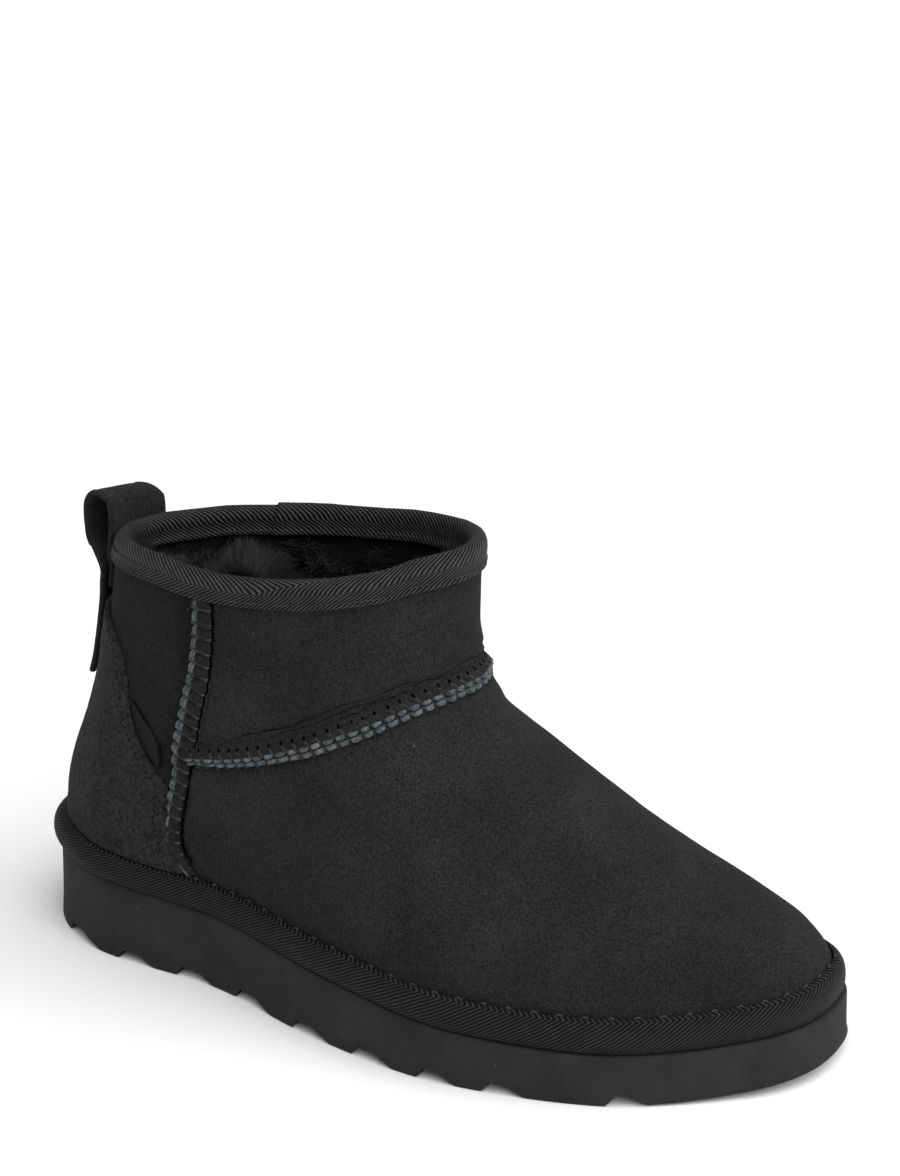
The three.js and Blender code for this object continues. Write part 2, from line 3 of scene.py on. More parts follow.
import bpy
import numpy as np
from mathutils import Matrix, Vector


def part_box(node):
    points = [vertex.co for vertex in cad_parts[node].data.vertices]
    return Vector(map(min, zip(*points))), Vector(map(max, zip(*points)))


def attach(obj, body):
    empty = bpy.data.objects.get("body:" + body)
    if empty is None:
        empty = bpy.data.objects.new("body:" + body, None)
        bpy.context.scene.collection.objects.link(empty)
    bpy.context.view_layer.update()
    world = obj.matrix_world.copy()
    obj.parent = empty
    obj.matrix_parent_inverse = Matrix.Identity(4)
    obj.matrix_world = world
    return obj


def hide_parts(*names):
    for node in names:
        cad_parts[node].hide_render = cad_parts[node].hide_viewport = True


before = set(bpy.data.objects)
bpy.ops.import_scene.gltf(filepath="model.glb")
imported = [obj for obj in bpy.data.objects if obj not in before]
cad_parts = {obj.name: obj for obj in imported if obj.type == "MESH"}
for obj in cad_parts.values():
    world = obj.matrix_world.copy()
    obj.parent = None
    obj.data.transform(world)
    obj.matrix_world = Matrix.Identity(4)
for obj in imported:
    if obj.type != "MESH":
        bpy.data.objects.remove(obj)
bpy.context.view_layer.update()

rng = np.random.default_rng(41)

# ---- the boot's own sizes, as in the CAD ----
SOLE_LENGTH = 270.5
COLLAR_Z, COLLAR_X, COLLAR_TILT = 140.0, 90.0, 0.045
SHAFT = 115.0                     # height that the levels of the shaft spread over
WALL, WALL_RIM = 8.5, 3.2
THIN_FROM, THIN_RUN = 0.80, 0.15  # the wall thins between these levels
GAP = 0.3
LUG_DEPTH, FLARE = 3.4, 1.0
ROLL_OUT, ROLL_OUT_TOE, ROLL_HEEL, ROLL_TOE = 2.6, -0.6, 9.0, 10.5
SOCK = 7.0
SEAT, COUNTER, COUNTER_TOP = 0.5, 1.5, 0.80
TAPE, BIND_OUT, BIND_IN = 0.9, 7.6, 8.5
LOOP_WIDE, LOOP_THICK, LOOP_Y, LOOP_LEAN = 26.0, 2.0, -2.4, 0.15

DECK_X = [0, 8, 50, 100, 140, 180, 215, 240, 258, 272]
DECK_TOP = [29.4, 28.9, 26.0, 23.7, 20.4, 16.6, 15.6, 16.4, 18.0, 19.6]
DECK_FLOOR = [0.9, 0, 0, 0, 0, 0, 0, 0.9, 2.6, 4.6]
RISE_FROM = 0.70
RIM_RISE = [
    # turn, rise of the rim over the collar's plane
    [0, 0.2], [15, 0.9], [35, 2.2], [60, 2.3], [75, 1.1], [90, 0.1], [105, 0], [120, 0.3], [135, 1.4],
    [150, 4.1], [165, 4.8], [180, 4.9], [210, 4.0], [240, 1.8], [270, 0.2], [300, -1.2], [330, -1.0],
    [345, -0.4], [360, 0.2],
]
LUGS = [[4, 15], [32.5, 41], [55, 64.5], [79, 89], [104.5, 115], [130.5, 139.5],
        [154.5, 163.5], [176, 184.5], [197, 220.5], [231, 262]]
STATIONS = np.array([0.10, 0.28, 0.46, 0.64, 0.80, 0.93])
SOLE = (0, SOLE_LENGTH, 0, 8, 0.80, [35.6, 41.0, 55.8, 63.0, 55.6, 35.2],
        [35.4, 34.6, 33.4, 40.6, 39.0, 27.0])
RINGS = [
    # level back front, middle line at back and front, squareness, outer then inner half widths
    [0.00, 3.4, 267, 0.0, 8.0, 0.80, [33, 38, 52.5, 59.5, 52, 33], [33, 31.5, 30.5, 37.5, 36, 24.5]],
    [0.08, 4.2, 265.5, 0.0, 8.0, 0.80, [33.5, 38.5, 52.5, 59.5, 52, 33], [33.5, 32, 31, 38, 36.5, 25]],
    [0.15, 5.2, 259, 0.0, 7.5, 0.82, [33.5, 39, 51.5, 58, 50, 31], [33.5, 33, 33, 39, 36, 24.5]],
    [0.22, 6.4, 245, -0.3, 6.0, 0.85, [33, 39, 49.5, 54.5, 46, 28], [33, 34, 35.5, 39.5, 36, 23.5]],
    [0.30, 9.0, 225, -0.8, 4.0, 0.88, [31.5, 38.5, 46, 49, 41, 25], [31.5, 35.5, 37.5, 39, 34.5, 22.5]],
    [0.40, 13.4, 202, -1.5, 1.5, 0.92, [29.5, 37.5, 42.5, 43.5, 36, 22],
     [29.5, 36, 38.5, 38.6, 33.4, 21.6]],
    [0.50, 17.8, 181, -2.5, -0.5, 0.95, [28, 36.5, 40.5, 40, 33, 20.5],
     [28, 36, 38.8, 38.2, 32.4, 20.8]],
    [0.60, 21.4, 161, -3.2, -2.5, 0.97, [26.6, 36, 39.8, 38.6, 32.5, 21],
     [26.6, 35.6, 39, 38, 32, 20.5]],
    [0.70, 23.8, 153.5, -3.6, -3.6, 1.0, [26, 36.2, 40, 38.8, 33, 21.6],
     [26, 36, 39.6, 38.4, 32.6, 21.2]],
    [0.80, 26.2, 151.5, -4.0, -4.0, 1.0, [25.6, 36.6, 40.4, 39.2, 32.4, 20.2],
     [25.6, 36.4, 40, 38.8, 32.6, 21]],
    [1.00, 29.5, 152.5, -4.0, -4.0, 1.0, [24.6, 36.6, 41, 39.2, 30.8, 17.6],
     [25.2, 37, 41, 39.6, 33, 21.2]],
]
CAD_TURNS = 60
CAD_LEVELS = [0, 0.045, 0.09, 0.13, 0.17, 0.21, 0.25, 0.30, 0.35]
COUNTER_EDGE = [
    # level, turn in degrees
    [0, 58.5], [0.12, 57.5], [0.20, 57.5], [0.28, 59], [0.345, 60.5], [0.395, 57.5], [0.45, 54],
    [0.53, 51.5], [0.61, 51], [0.68, 49.5], [0.73, 45], [0.765, 37], [0.785, 28], [0.80, 18],
]
LOOP_RUN = [
    # over the rim, off the skin
    [-18.5, 1.5], [-15, 1.5], [-11.5, 1.7], [-8.8, 2.8], [-3, 2.8], [1, 2.8], [4.5, 2.8], [7.4, 3.3],
    [9.4, 4.8], [10.2, 6.9], [9.4, 9.0], [7.0, 10.6], [3.6, 11.1], [0, 10.9], [-3.5, 9.8], [-7, 7.7],
    [-10.5, 5.8], [-14, 4.6], [-18, 4.3], [-22, 4.0], [-27, 3.7], [-33, 3.6], [-41, 3.6], [-49, 3.6],
]
TAG_ROWS = [
    # level, sewn turn, folded turn
    [0.577, 52.6, 53.8], [0.535, 52.6, 57.2], [0.490, 53.6, 60.4], [0.445, 55.4, 60.8],
    [0.405, 58.4, 59.8],
]
ROLL_SHAPE = [
    # out, up
    [0.00, 0.00], [0.62, 0.00], [0.90, 0.12], [1.00, 0.34], [0.97, 0.58], [0.80, 0.80],
    [0.50, 0.95], [0.16, 1.00], [0.00, 0.97],
]

# Seam lines on the outer side, as turn in degrees and level; the inner side has the same ones.
SIDE_SEAM = [[82.0, 0.945], [82.7, 0.87], [82.7, 0.80], [81.2, 0.705], [78.3, 0.64], [75.2, 0.58],
             [71.8, 0.53], [68.8, 0.486], [67.0, 0.447], [65.3, 0.40], [62.8, 0.336], [60.2, 0.273],
             [58.3, 0.215], [57.4, 0.165], [58.2, 0.125], [60.2, 0.085]]
COLLAR_SEAM = [[68.2, 0.444], [73, 0.457], [79.4, 0.473], [88.4, 0.50], [98.5, 0.532], [108.3, 0.559],
               [118.4, 0.591], [130.4, 0.627], [142.1, 0.659], [154.8, 0.682], [168, 0.692], [180, 0.693]]


# ---- the form ----
DEG = math.pi / 180
UPWARD = np.array([0, 0, 1.0])


def lerp(a, b, u):
    return a + (b - a) * u


def through(xs, ys, x):
    """Smooth curve through knots that never overshoots; ys has a row for each knot."""
    xs, ys = np.asarray(xs, float), np.asarray(ys, float)
    x = np.clip(np.asarray(x, float), xs[0], xs[-1])
    h = np.diff(xs)
    tall = h.reshape(-1, *[1] * (ys.ndim - 1))
    cut = np.diff(ys, axis=0) / tall
    slope = np.empty_like(ys)
    slope[0], slope[-1] = cut[0], cut[-1]
    a, b, ha, hb = cut[:-1], cut[1:], tall[:-1], tall[1:]
    with np.errstate(divide="ignore", invalid="ignore"):
        blend = 3 * (ha + hb) / ((ha + 2 * hb) / a + (2 * ha + hb) / b)
    slope[1:-1] = np.where(a * b > 0, blend, 0)
    k = np.clip(np.searchsorted(xs, x, side="right") - 1, 0, len(xs) - 2)

    def pick(rows, j):
        return rows[j] if rows.ndim == 1 else np.take_along_axis(rows, j[None], 0)[0]
    u = (x - xs[k]) / h[k]
    y0, y1 = pick(ys, k), pick(ys, k + 1)
    a, b, d = pick(slope, k) * h[k], pick(slope, k + 1) * h[k], y1 - y0
    return y0 + u * (a + u * (3 * d - 2 * a - b + u * (a + b - 2 * d)))


def deck_top(x):
    return through(DECK_X, DECK_TOP, x)


def plan_point(ring, a):
    back, front, cb, cf, q, outer, inner = ring
    s = (1 - np.cos(a)) / 2
    x = lerp(back, front, s)
    middle = lerp(cb, cf, s * s)
    row = np.where(np.sin(a) >= 0, outer, inner)
    st = STATIONS.reshape(-1, *[1] * np.ndim(a))
    full = row / (2 * np.sqrt(st * (1 - st))) ** q
    w = through(STATIONS, full, s) * np.abs(np.sin(a)) ** q
    return x, middle - np.sign(np.sin(a)) * w


def sole_plan(a):
    shape = [-1] + [1] * np.ndim(a)
    o, i = (np.broadcast_to(np.array(SOLE[k], float).reshape(shape), (len(STATIONS), *np.shape(a)))
            for k in (5, 6))
    return plan_point((*SOLE[:5], o, i), a)


def ring_at(level):
    levels = [r[0] for r in RINGS]
    get = lambda values: through(levels, values, level)
    ends = [get([r[k] for r in RINGS]) for k in range(1, 6)]
    o, i = (np.stack([get([r[k][j] for r in RINGS]) for j in range(len(STATIONS))]) for k in (6, 7))
    return (*ends, o, i)


def rim_rise(a, level):
    turn = (a / DEG) % 360
    u = np.clip((level - RISE_FROM) / (1 - RISE_FROM), 0, 1)
    return through([r[0] for r in RIM_RISE], [r[1] for r in RIM_RISE], turn) * u * u * (3 - 2 * u)


def skin(a, level):
    """The upper's outside at turn a and level.

    Turn is 0 at the back and pi at the toe, outer side first; level is 0 at the deck, 1 at the collar.
    """
    a, level = np.broadcast_arrays(np.asarray(a, float), np.asarray(level, float))
    x, y = plan_point(ring_at(np.clip(level, 0, 1)), a)
    low, high = deck_top(x) + GAP, COLLAR_Z + COLLAR_TILT * (x - COLLAR_X)
    return np.stack([x, y, lerp(low, high, level) + rim_rise(a, level)], -1)


def unit(v):
    return v / np.maximum(np.linalg.norm(v, axis=-1, keepdims=True), 1e-12)


def skin_normal(a, level):
    da, dl = 0.012, 0.006
    level = np.clip(level, dl, 1 - dl)
    t = skin(a + da, level) - skin(a - da, level)
    u = skin(a, level + dl) - skin(a, level - dl)
    return unit(np.cross(t, u))


def off(a, level, d):
    return skin(a, level) + skin_normal(a, level) * np.asarray(d, float)[..., None]


def wall_at(level):
    return lerp(WALL, WALL_RIM, np.clip((level - THIN_FROM) / THIN_RUN, 0, 1))


def sole_edge(a, grow):
    """The sole's edge as seen from above, grown outwards."""
    e = 0.01
    x, y = sole_plan(a)
    x0, y0 = sole_plan(a - e)
    x1, y1 = sole_plan(a + e)
    tx, ty = x1 - x0, y1 - y0
    long = np.maximum(np.hypot(tx, ty), 1e-9)
    return x + ty / long * grow, y - tx / long * grow


CELLS = 32
LATTICE = rng.uniform(-1, 1, (CELLS, CELLS, CELLS))


def noise(p, size):
    """Smooth noise from -1 to 1 with features of that size."""
    q = p / size + 100
    i = np.floor(q).astype(int)
    f = q - i
    f = f * f * (3 - 2 * f)
    total = 0
    for corner in np.ndindex(2, 2, 2):
        w = 1
        for axis, d in enumerate(corner):
            w = w * (f[..., axis] if d else 1 - f[..., axis])
        x, y, z = ((i[..., axis] + corner[axis]) % CELLS for axis in range(3))
        total = total + w * LATTICE[x, y, z]
    return total


def noise_vector(p, size, step):
    """Three noises side by side, as a direction."""
    return np.stack([noise(p + shift, size) for shift in step], -1)


# ---- points along lines ----
def run_length(points):
    """How far each point lies along the line through all of them."""
    return np.concatenate([[0], np.cumsum(np.linalg.norm(np.diff(points, axis=0), axis=1))])


def pick_at(at, d, rows):
    """The rows' values at these places, when row k lies d[k] along."""
    return np.stack([np.interp(at, d, rows[:, k]) for k in range(3)], -1)


def squares(points, line):
    """Squared distance from every point to every point of the line."""
    return (points ** 2).sum(1)[:, None] + (line ** 2).sum(1)[None] - 2 * points @ line.T


def smooth(v, s):
    """Catmull-Rom curve through evenly numbered knots."""
    i = np.clip(np.floor(s).astype(int), 0, len(v) - 2)
    u = s - i
    get = lambda j: v[np.clip(j, 0, len(v) - 1)]
    a, b, c, d = get(i - 1), get(i), get(i + 1), get(i + 2)
    return 0.5 * (2 * b + (c - a) * u + (2 * a - 5 * b + 4 * c - d) * u ** 2 +
                  (3 * b - a - 3 * c + d) * u ** 3)


def even_turns(count, level=0.0):
    """Turns that are evenly spaced round the boot at that level."""
    a = np.linspace(0, 2 * np.pi, 2401)
    d = run_length(skin(a, level))
    return np.interp(np.arange(count) / count * d[-1], d, a)


# ---- from millimetres to the shared frame ----
cad_turns = (np.arange(CAD_TURNS) + 0.5) * 2 * np.pi / CAD_TURNS
sample = skin(cad_turns[None], np.array(CAD_LEVELS)[:, None])
upper_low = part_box("upper")[0]
SHIFT = np.array([upper_low.x * 1000 - sample[..., 0].min(),
                  upper_low.y * 1000 - sample[..., 1].min(), 0])


def place(p):
    return (np.asarray(p, float) + SHIFT) / 1000


# ---- meshes from grids ----
def mesh_piece(name, verts, quads, material, replaces=(), uv=None, polys=()):
    """One closed piece. quads is (n, 4); uv gives two numbers for each of their corners."""
    verts = place(np.asarray(verts, float).reshape(-1, 3))
    quads = np.asarray(quads, int).reshape(-1, 4)
    a, b, c, d = (verts[quads[:, k]] for k in range(4))
    volume = np.einsum("ij,ij->", a, np.cross(b, c)) + np.einsum("ij,ij->", a, np.cross(c, d))
    if volume < 0:
        quads = quads[:, ::-1]
        uv = None if uv is None else uv[:, ::-1]
        polys = [p[::-1] for p in polys]
    me = bpy.data.meshes.new(name)
    me.from_pydata(verts.tolist(), [], quads.tolist() + [list(p) for p in polys])
    if uv is not None:
        layer = me.uv_layers.new(name="run")
        flat = np.zeros((len(me.loops), 2), np.float32)
        flat[:len(quads) * 4] = uv.reshape(-1, 2)
        layer.data.foreach_set("uv", flat.ravel())
    me.polygons.foreach_set("use_smooth", [True] * len(me.polygons))
    me.materials.append(material)
    me.update()
    piece = bpy.data.objects.new(name, me)
    bpy.context.scene.collection.objects.link(piece)
    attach(piece, "root")
    if replaces:
        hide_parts(*replaces)
    return piece


def grid_quads(ids):
    """Quads between the neighbours in a grid of point numbers."""
    return np.stack([ids[:-1, :-1], ids[:-1, 1:], ids[1:, 1:], ids[1:, :-1]], -1).reshape(-1, 4)


def end_caps(m, n):
    """The two end faces of m rings of n points each."""
    return [list(range(n))[::-1], [(m - 1) * n + k for k in range(n)]]


def ring_quads(m, n, closed):
    """Quads of m rings of n points each; closed joins the last ring to the first."""
    r = np.arange(m if closed else m - 1)[:, None]
    k = np.arange(n)[None]
    j, q = (k + 1) % n, (r + 1) % m
    return np.stack(np.broadcast_arrays(r * n + k, r * n + j, q * n + j, q * n + k), -1).reshape(-1, 4)


def ring_uv(m, n, closed, u_total, v):
    """Corner numbers for ring_quads: u runs along the rings, v[r] is each ring's own number."""
    r = np.arange(m if closed else m - 1)[:, None]
    k = np.arange(n)[None]
    v = np.asarray(list(v) + [v[0]] if closed and len(v) == m else v, float)
    u0, u1 = k / n * u_total + 0 * r, (k + 1) / n * u_total + 0 * r
    v0, v1 = v[r] + 0 * k, v[r + 1] + 0 * k
    return np.stack([np.stack([u0, v0], -1), np.stack([u1, v0], -1), np.stack([u1, v1], -1),
                     np.stack([u0, v1], -1)], -2).reshape(-1, 4, 2)


def slab_piece(name, front, back, material, replaces=(), uv_scale=None):
    """Closed slab between two grids of points of the same size."""
    m, n = front.shape[:2]
    ids = np.arange(m * n).reshape(m, n)
    f = grid_quads(ids)
    rim = np.concatenate([ids[0, :-1], ids[:-1, -1], ids[-1, :0:-1], ids[:0:-1, 0]])
    nxt = np.roll(rim, -1)
    side = np.stack([nxt, rim, rim + m * n, nxt + m * n], -1)
    quads = np.concatenate([f, f[:, ::-1] + m * n, side])
    uv = None
    if uv_scale:
        u, v = np.meshgrid(np.linspace(0, uv_scale[0], n), np.linspace(0, uv_scale[1], m))
        both = np.stack([np.tile(u.ravel(), 2), np.tile(v.ravel(), 2)], -1)
        uv = both[quads]
    return mesh_piece(name, np.concatenate([front.reshape(-1, 3), back.reshape(-1, 3)]), quads, material,
                      replaces, uv)


def tubes_piece(name, paths, normals, radius, sides, material, flat=1.0):
    """Joined closed tubes. paths is (tubes, points, 3), radius (tubes, points)."""
    paths, radius = np.asarray(paths, float), np.asarray(radius, float)
    count, points = paths.shape[:2]
    t = unit(np.gradient(paths, axis=1))
    b = unit(np.cross(t, np.broadcast_to(normals, paths.shape)))
    n = np.cross(b, t)
    turn = np.arange(sides) * 2 * np.pi / sides
    ring = (paths[:, :, None] + radius[..., None, None] *
            (b[:, :, None] * np.cos(turn)[:, None] + n[:, :, None] * np.sin(turn)[:, None] * flat))
    starts = np.arange(count) * points * sides
    quads = (ring_quads(points, sides, False)[None] + starts[:, None, None]).reshape(-1, 4)
    uv = np.tile(ring_uv(points, sides, False, 1.0, np.linspace(0, 1, points)), (count, 1, 1))
    ends = []
    for start in starts.tolist():
        last = start + (points - 1) * sides
        ends += [list(range(start, start + sides)), list(range(last + sides - 1, last - 1, -1))]
    return mesh_piece(name, ring, quads, material, (), uv, ends)


def decked_piece(name, rings, floors, material, replaces):
    """Closed piece from rings that lie one over another, each floor laid as a ladder.

    floors gives for the lowest and the highest ring: how many points each rung has between its two
    ends, and a function that sets their heights. Rungs run from the outer side to the inner one.
    """
    m, n = rings.shape[:2]
    h, count = n // 2, m * n
    verts, quads, polys = [rings.reshape(-1, 3)], [ring_quads(m, n, False)], []
    for ring, (inner, settle) in zip((0, m - 1), floors):
        left, right = rings[ring, :h], rings[ring, ::-1][:h]
        u = np.linspace(0, 1, inner + 2)[1:-1]
        grid = settle(left[:, None] + (right - left)[:, None] * u[None, :, None])
        ids = np.concatenate([(ring * n + np.arange(h))[:, None],
                              count + np.arange(h * inner).reshape(h, inner),
                              (ring * n + n - 1 - np.arange(h))[:, None]], 1)
        q = grid_quads(ids)
        quads.append(q if ring else q[:, ::-1])
        verts.append(grid.reshape(-1, 3))
        count += h * inner
        # the first and the last rung close the two ends, heel and toe
        for row, flip in ((0, ring == 0), (h - 1, ring != 0)):
            polys.append((ids[row] if flip else ids[row][::-1]).tolist())
    mesh_piece(name, np.concatenate(verts), np.concatenate(quads), material, replaces, None, polys)


# ---- materials ----
NOISE_LOW, NOISE_HIGH = 0.3, 0.7  # most values of a noise lie between these


def srgb(v):
    c = v / 255
    return c / 12.92 if c <= 0.04045 else ((c + 0.055) / 1.055) ** 2.4


class Look:
    """A material being built from nodes."""

    def __init__(self, name, rough, specular, sheen=0.0, sheen_rough=0.5, sheen_tint=(1, 1, 1)):
        self.material = bpy.data.materials.new(name)
        self.material.use_nodes = True
        self.tree = self.material.node_tree
        self.shader = self.tree.nodes["Principled BSDF"]
        self.shader.inputs["Roughness"].default_value = rough
        self.shader.inputs["Specular IOR Level"].default_value = specular
        self.shader.inputs["Sheen Weight"].default_value = sheen
        self.shader.inputs["Sheen Roughness"].default_value = sheen_rough
        self.shader.inputs["Sheen Tint"].default_value = (*sheen_tint, 1)
        self.where = self.node("ShaderNodeTexCoord").outputs["Object"]
        self.height = None

    def node(self, kind, inputs=None, **props):
        n = self.tree.nodes.new(kind)
        for key, value in props.items():
            setattr(n, key, value)
        for key, value in (inputs or {}).items():
            if isinstance(value, bpy.types.NodeSocket):
                self.tree.links.new(value, n.inputs[key])
            else:
                n.inputs[key].default_value = value
        return n

    def math(self, operation, a, b=0.0, c=0.0):
        return self.node("ShaderNodeMath", {0: a, 1: b, 2: c}, operation=operation).outputs[0]

    def times(self, first, *rest):
        for value in rest:
            first = self.math("MULTIPLY", first, value)
        return first

    def wave(self, value, pitch):
        """Sine of a length, one wave for each pitch."""
        return self.math("SINE", self.times(value, 2 * math.pi / pitch))

    def run(self):
        """The two numbers, u and v, that a mesh carries."""
        uv = self.node("ShaderNodeUVMap", uv_map="run").outputs[0]
        part = self.node("ShaderNodeSeparateXYZ", {0: uv})
        return part.outputs[0], part.outputs[1]

    def noise(self, scale, detail=2.0, rough=0.5, stretch=None):
        where = self.where
        if stretch:
            where = self.node("ShaderNodeMapping", {"Vector": where, "Scale": stretch}).outputs[0]
        return self.node("ShaderNodeTexNoise", {"Vector": where, "Scale": scale, "Detail": detail,
                                                "Roughness": rough}).outputs["Fac"]

    def between(self, value, low, high, to_low, to_high):
        return self.node("ShaderNodeMapRange", {"Value": value, "From Min": low, "From Max": high,
                                                "To Min": to_low, "To Max": to_high}).outputs[0]

    def vary(self, value, low, high):
        """A noise spread so that it runs from low to high."""
        return self.between(value, NOISE_LOW, NOISE_HIGH, low, high)

    def plain(self, r, g, b):
        base = self.node("ShaderNodeRGB")
        base.outputs[0].default_value = (r, g, b, 1)
        return base.outputs[0]

    def colour(self, rgb, factor):
        """The given colour times a factor that varies over the surface."""
        base = self.plain(*[srgb(c) for c in rgb])
        return self.node("ShaderNodeVectorMath", {0: base, "Scale": factor}, operation="SCALE").outputs[0]

    def mix(self, factor, a, b):
        n = self.node("ShaderNodeMix", data_type="RGBA")
        self.tree.links.new(factor, n.inputs[0])
        self.tree.links.new(a, n.inputs[6])
        self.tree.links.new(b, n.inputs[7])
        return n.outputs[2]

    def specked(self, body, scale, radius, share, grey, strength):
        """The body's colour with a few small round specks of lint on it."""
        v = self.node("ShaderNodeTexVoronoi", {"Vector": self.where, "Scale": scale})
        near = self.math("LESS_THAN", v.outputs["Distance"], radius * scale)
        red = self.node("ShaderNodeSeparateColor", {0: v.outputs["Color"]}).outputs[0]
        on = self.times(near, self.math("LESS_THAN", red, share))
        return self.mix(self.times(on, strength), body, self.plain(grey, grey, grey))

    def bump(self, height, distance, strength):
        inputs = {"Height": height, "Distance": distance, "Strength": strength}
        if self.height is not None:
            inputs["Normal"] = self.height
        self.height = self.node("ShaderNodeBump", inputs).outputs[0]

    def done(self, colour):
        self.tree.links.new(colour, self.shader.inputs["Base Color"])
        if self.height is not None:
            self.tree.links.new(self.height, self.shader.inputs["Normal"])
        return self.material


def suede(name, rgb, grain, depth, mottle, sheen, painted_shade=False):
    """Napped leather; with the last flag set, the mesh's u number darkens each place's colour as painted
    shade.
    """
    look = Look(name, 0.95, 0.05, sheen, 0.45, (0.86, 0.93, 0.92))
    fine = look.noise(grain, 4.0, 0.75)
    nap = look.noise(grain * 0.6, 3.0, 0.6, (1.0, 1.0, 0.5))
    patch = look.noise(38, 3.0, 0.5)
    factor = look.times(look.vary(fine, 1 - mottle, 1 + mottle), look.vary(patch, 0.80, 1.20),
                        look.vary(nap, 0.80, 1.22))
    # painted shade: the mesh's u number darkens the colour where the upper lies in shade
    if painted_shade:
        factor = look.times(factor, look.run()[0])
    colour = look.specked(look.colour(rgb, factor), scale=170, radius=0.00024, share=0.16, grey=0.2,
                          strength=0.55)
    look.bump(nap, 0.0006, 0.5)
    look.bump(fine, 0.0004, depth)
    return look.done(colour)


def tape(name, rgb, flip, low_lean, high_lean, pitch, climb=None, painted_crest_highlight=2.6):
    """Twill tape: u counts along the tape, v across it, both in millimetres.

    The ribs lean one way below flip and the other way above it; climb raises flip from one u to another.
    """
    ply_pitch = 0.8
    look = Look(name, 0.6, 0.14, 0.0, 0.4)
    u, v = look.run()
    if climb:
        flip = look.between(u, climb[0], climb[1], flip, flip + climb[2])
    over = look.math("SUBTRACT", v, flip)
    high = look.times(look.math("MAXIMUM", over, 0.0), high_lean)
    low = look.times(look.math("MINIMUM", over, 0.0), -low_lean)
    bent = look.math("ADD", high, low)
    wobble = look.times(look.math("SUBTRACT", look.noise(130, 2.0), 0.5), 0.8)
    rib = look.wave(look.math("ADD", look.math("ADD", u, bent), wobble), pitch)
    ply = look.wave(look.math("SUBTRACT", u, bent), ply_pitch)
    height = look.math("ADD", look.times(rib, 0.5), look.times(ply, 0.12))
    # painted light: the colour follows the ribs' height, darkened in the grooves as painted shade and
    # several times brighter on the crests as painted highlight
    painted_light = look.between(height, -0.30, 0.52, 0.0, painted_crest_highlight)
    worn = look.vary(look.noise(420, 3.0), 0.75, 1.25)
    look.bump(height, 0.0005, 0.9)
    return look.done(look.colour(rgb, look.times(painted_light, worn)))


def raw_edge(name, rgb):
    look = Look(name, 0.95, 0.15, 0.1, 0.5)
    fibre = look.noise(900, 4.0, 0.75)
    look.bump(fibre, 0.0007, 0.9)
    patch = look.vary(look.noise(260, 2.0), 0.6, 1.4)
    return look.done(look.colour(rgb, look.times(look.between(fibre, 0.32, 0.68, 0.3, 1.75), patch)))


def dark(name, rgb):
    look = Look(name, 1.0, 0.0)
    return look.done(look.colour(rgb, look.vary(look.noise(500), 0.8, 1.2)))


def thread(name, rgb):
    look = Look(name, 0.5, 0.3, 0.05)
    ply = look.noise(1500, 2.0)
    look.bump(ply, 0.0002, 0.5)
    return look.done(look.colour(rgb, look.vary(ply, 0.7, 1.3)))


def foam(name, rgb):
    look = Look(name, 0.85, 0.12, 0.03, 0.5)
    fine = look.noise(1300, 4.0, 0.65)
    broad = look.vary(look.noise(60, 5.0, 0.6), 0.70, 1.30)
    body = look.colour(rgb, look.times(look.vary(fine, 0.9, 1.1), broad))
    colour = look.specked(body, scale=150, radius=0.00026, share=0.3, grey=0.16, strength=0.4)
    look.bump(fine, 0.0003, 0.35)
    return look.done(colour)


def wool(name, root, tip=None):
    """Pile; a strand's colour runs from root to tip along its v."""
    look = Look(name, 0.7, 0.12, 0.05, 0.4)
    patch = look.vary(look.noise(90, 3.0), 0.6, 1.4)
    if tip:
        colour = look.mix(look.run()[1], look.colour(root, patch), look.colour(tip, patch))
    else:
        look.bump(look.noise(420, 4.0, 0.7), 0.0015, 0.8)
        colour = look.colour(root, patch)
    return look.done(colour)


SUEDE = suede("black_suede", (37, 38, 38), 1700, 1.0, 0.9, 0.03)
# painted shade: this copy of the suede is darkened by the mesh's u number
SUEDE_PAINTED_SHADE = suede("black_suede_painted_shade", (38, 39, 39), 1700, 1.0, 0.9, 0.03, painted_shade=True)
SUEDE_COUNTER = suede("counter_suede", (39, 40, 40), 850, 1.2, 0.95, 0.04)
SUEDE_LOOP = suede("loop_suede", (37, 37, 37), 950, 1.0, 0.7, 0.04)
TAPE_COLLAR = tape("collar_tape", (41, 43, 44), flip=4.7, low_lean=1.9, high_lean=1.8, pitch=2.0,
                   climb=(95.0, 125.0, 4.5), painted_crest_highlight=3.1)
TAPE_ROLL = tape("roll_tape", (29, 30, 31), flip=13.0, low_lean=1.9, high_lean=0.9, pitch=2.1)
CUT_EDGE = raw_edge("cut_edge", (82, 88, 92))
THREAD = thread("thread", (50, 48, 47))
# painted highlight: a lighter copy of the thread colour, used on the side seams for the threads' glints
THREAD_PAINTED_HIGHLIGHT = thread("thread_painted_highlight", (66, 67, 68))
FOAM = foam("sole_foam", (39, 40, 41))
WOOL = wool("wool_pile", (6, 6, 6))
WOOL_STRAND = wool("wool_strand", (6, 6, 7), (64, 66, 67))
# painted shade: a copy of the strand colour with darker tips, for the pile on the far wall and deep in
# the shaft
WOOL_STRAND_PAINTED_SHADE = wool("wool_strand_painted_shade", (6, 6, 7), (30, 31, 32))
# painted shade at the stitch holes, in the side seams' notches and beside their domes; also the dark
# thread of the counter's stitches
PAINTED_SHADE_AND_DARK_THREAD = dark("hole_shade_and_dark_thread", (4, 4, 4))
# painted shade for the bottoms of the wrinkles beside the collar seam
CREASE_PAINTED_SHADE = dark("crease_painted_shade", (20, 21, 21))
TAG_TAPE = tape("tag_tape", (8, 8, 9), flip=400.0, low_lean=0.0, high_lean=0.0, pitch=0.7)


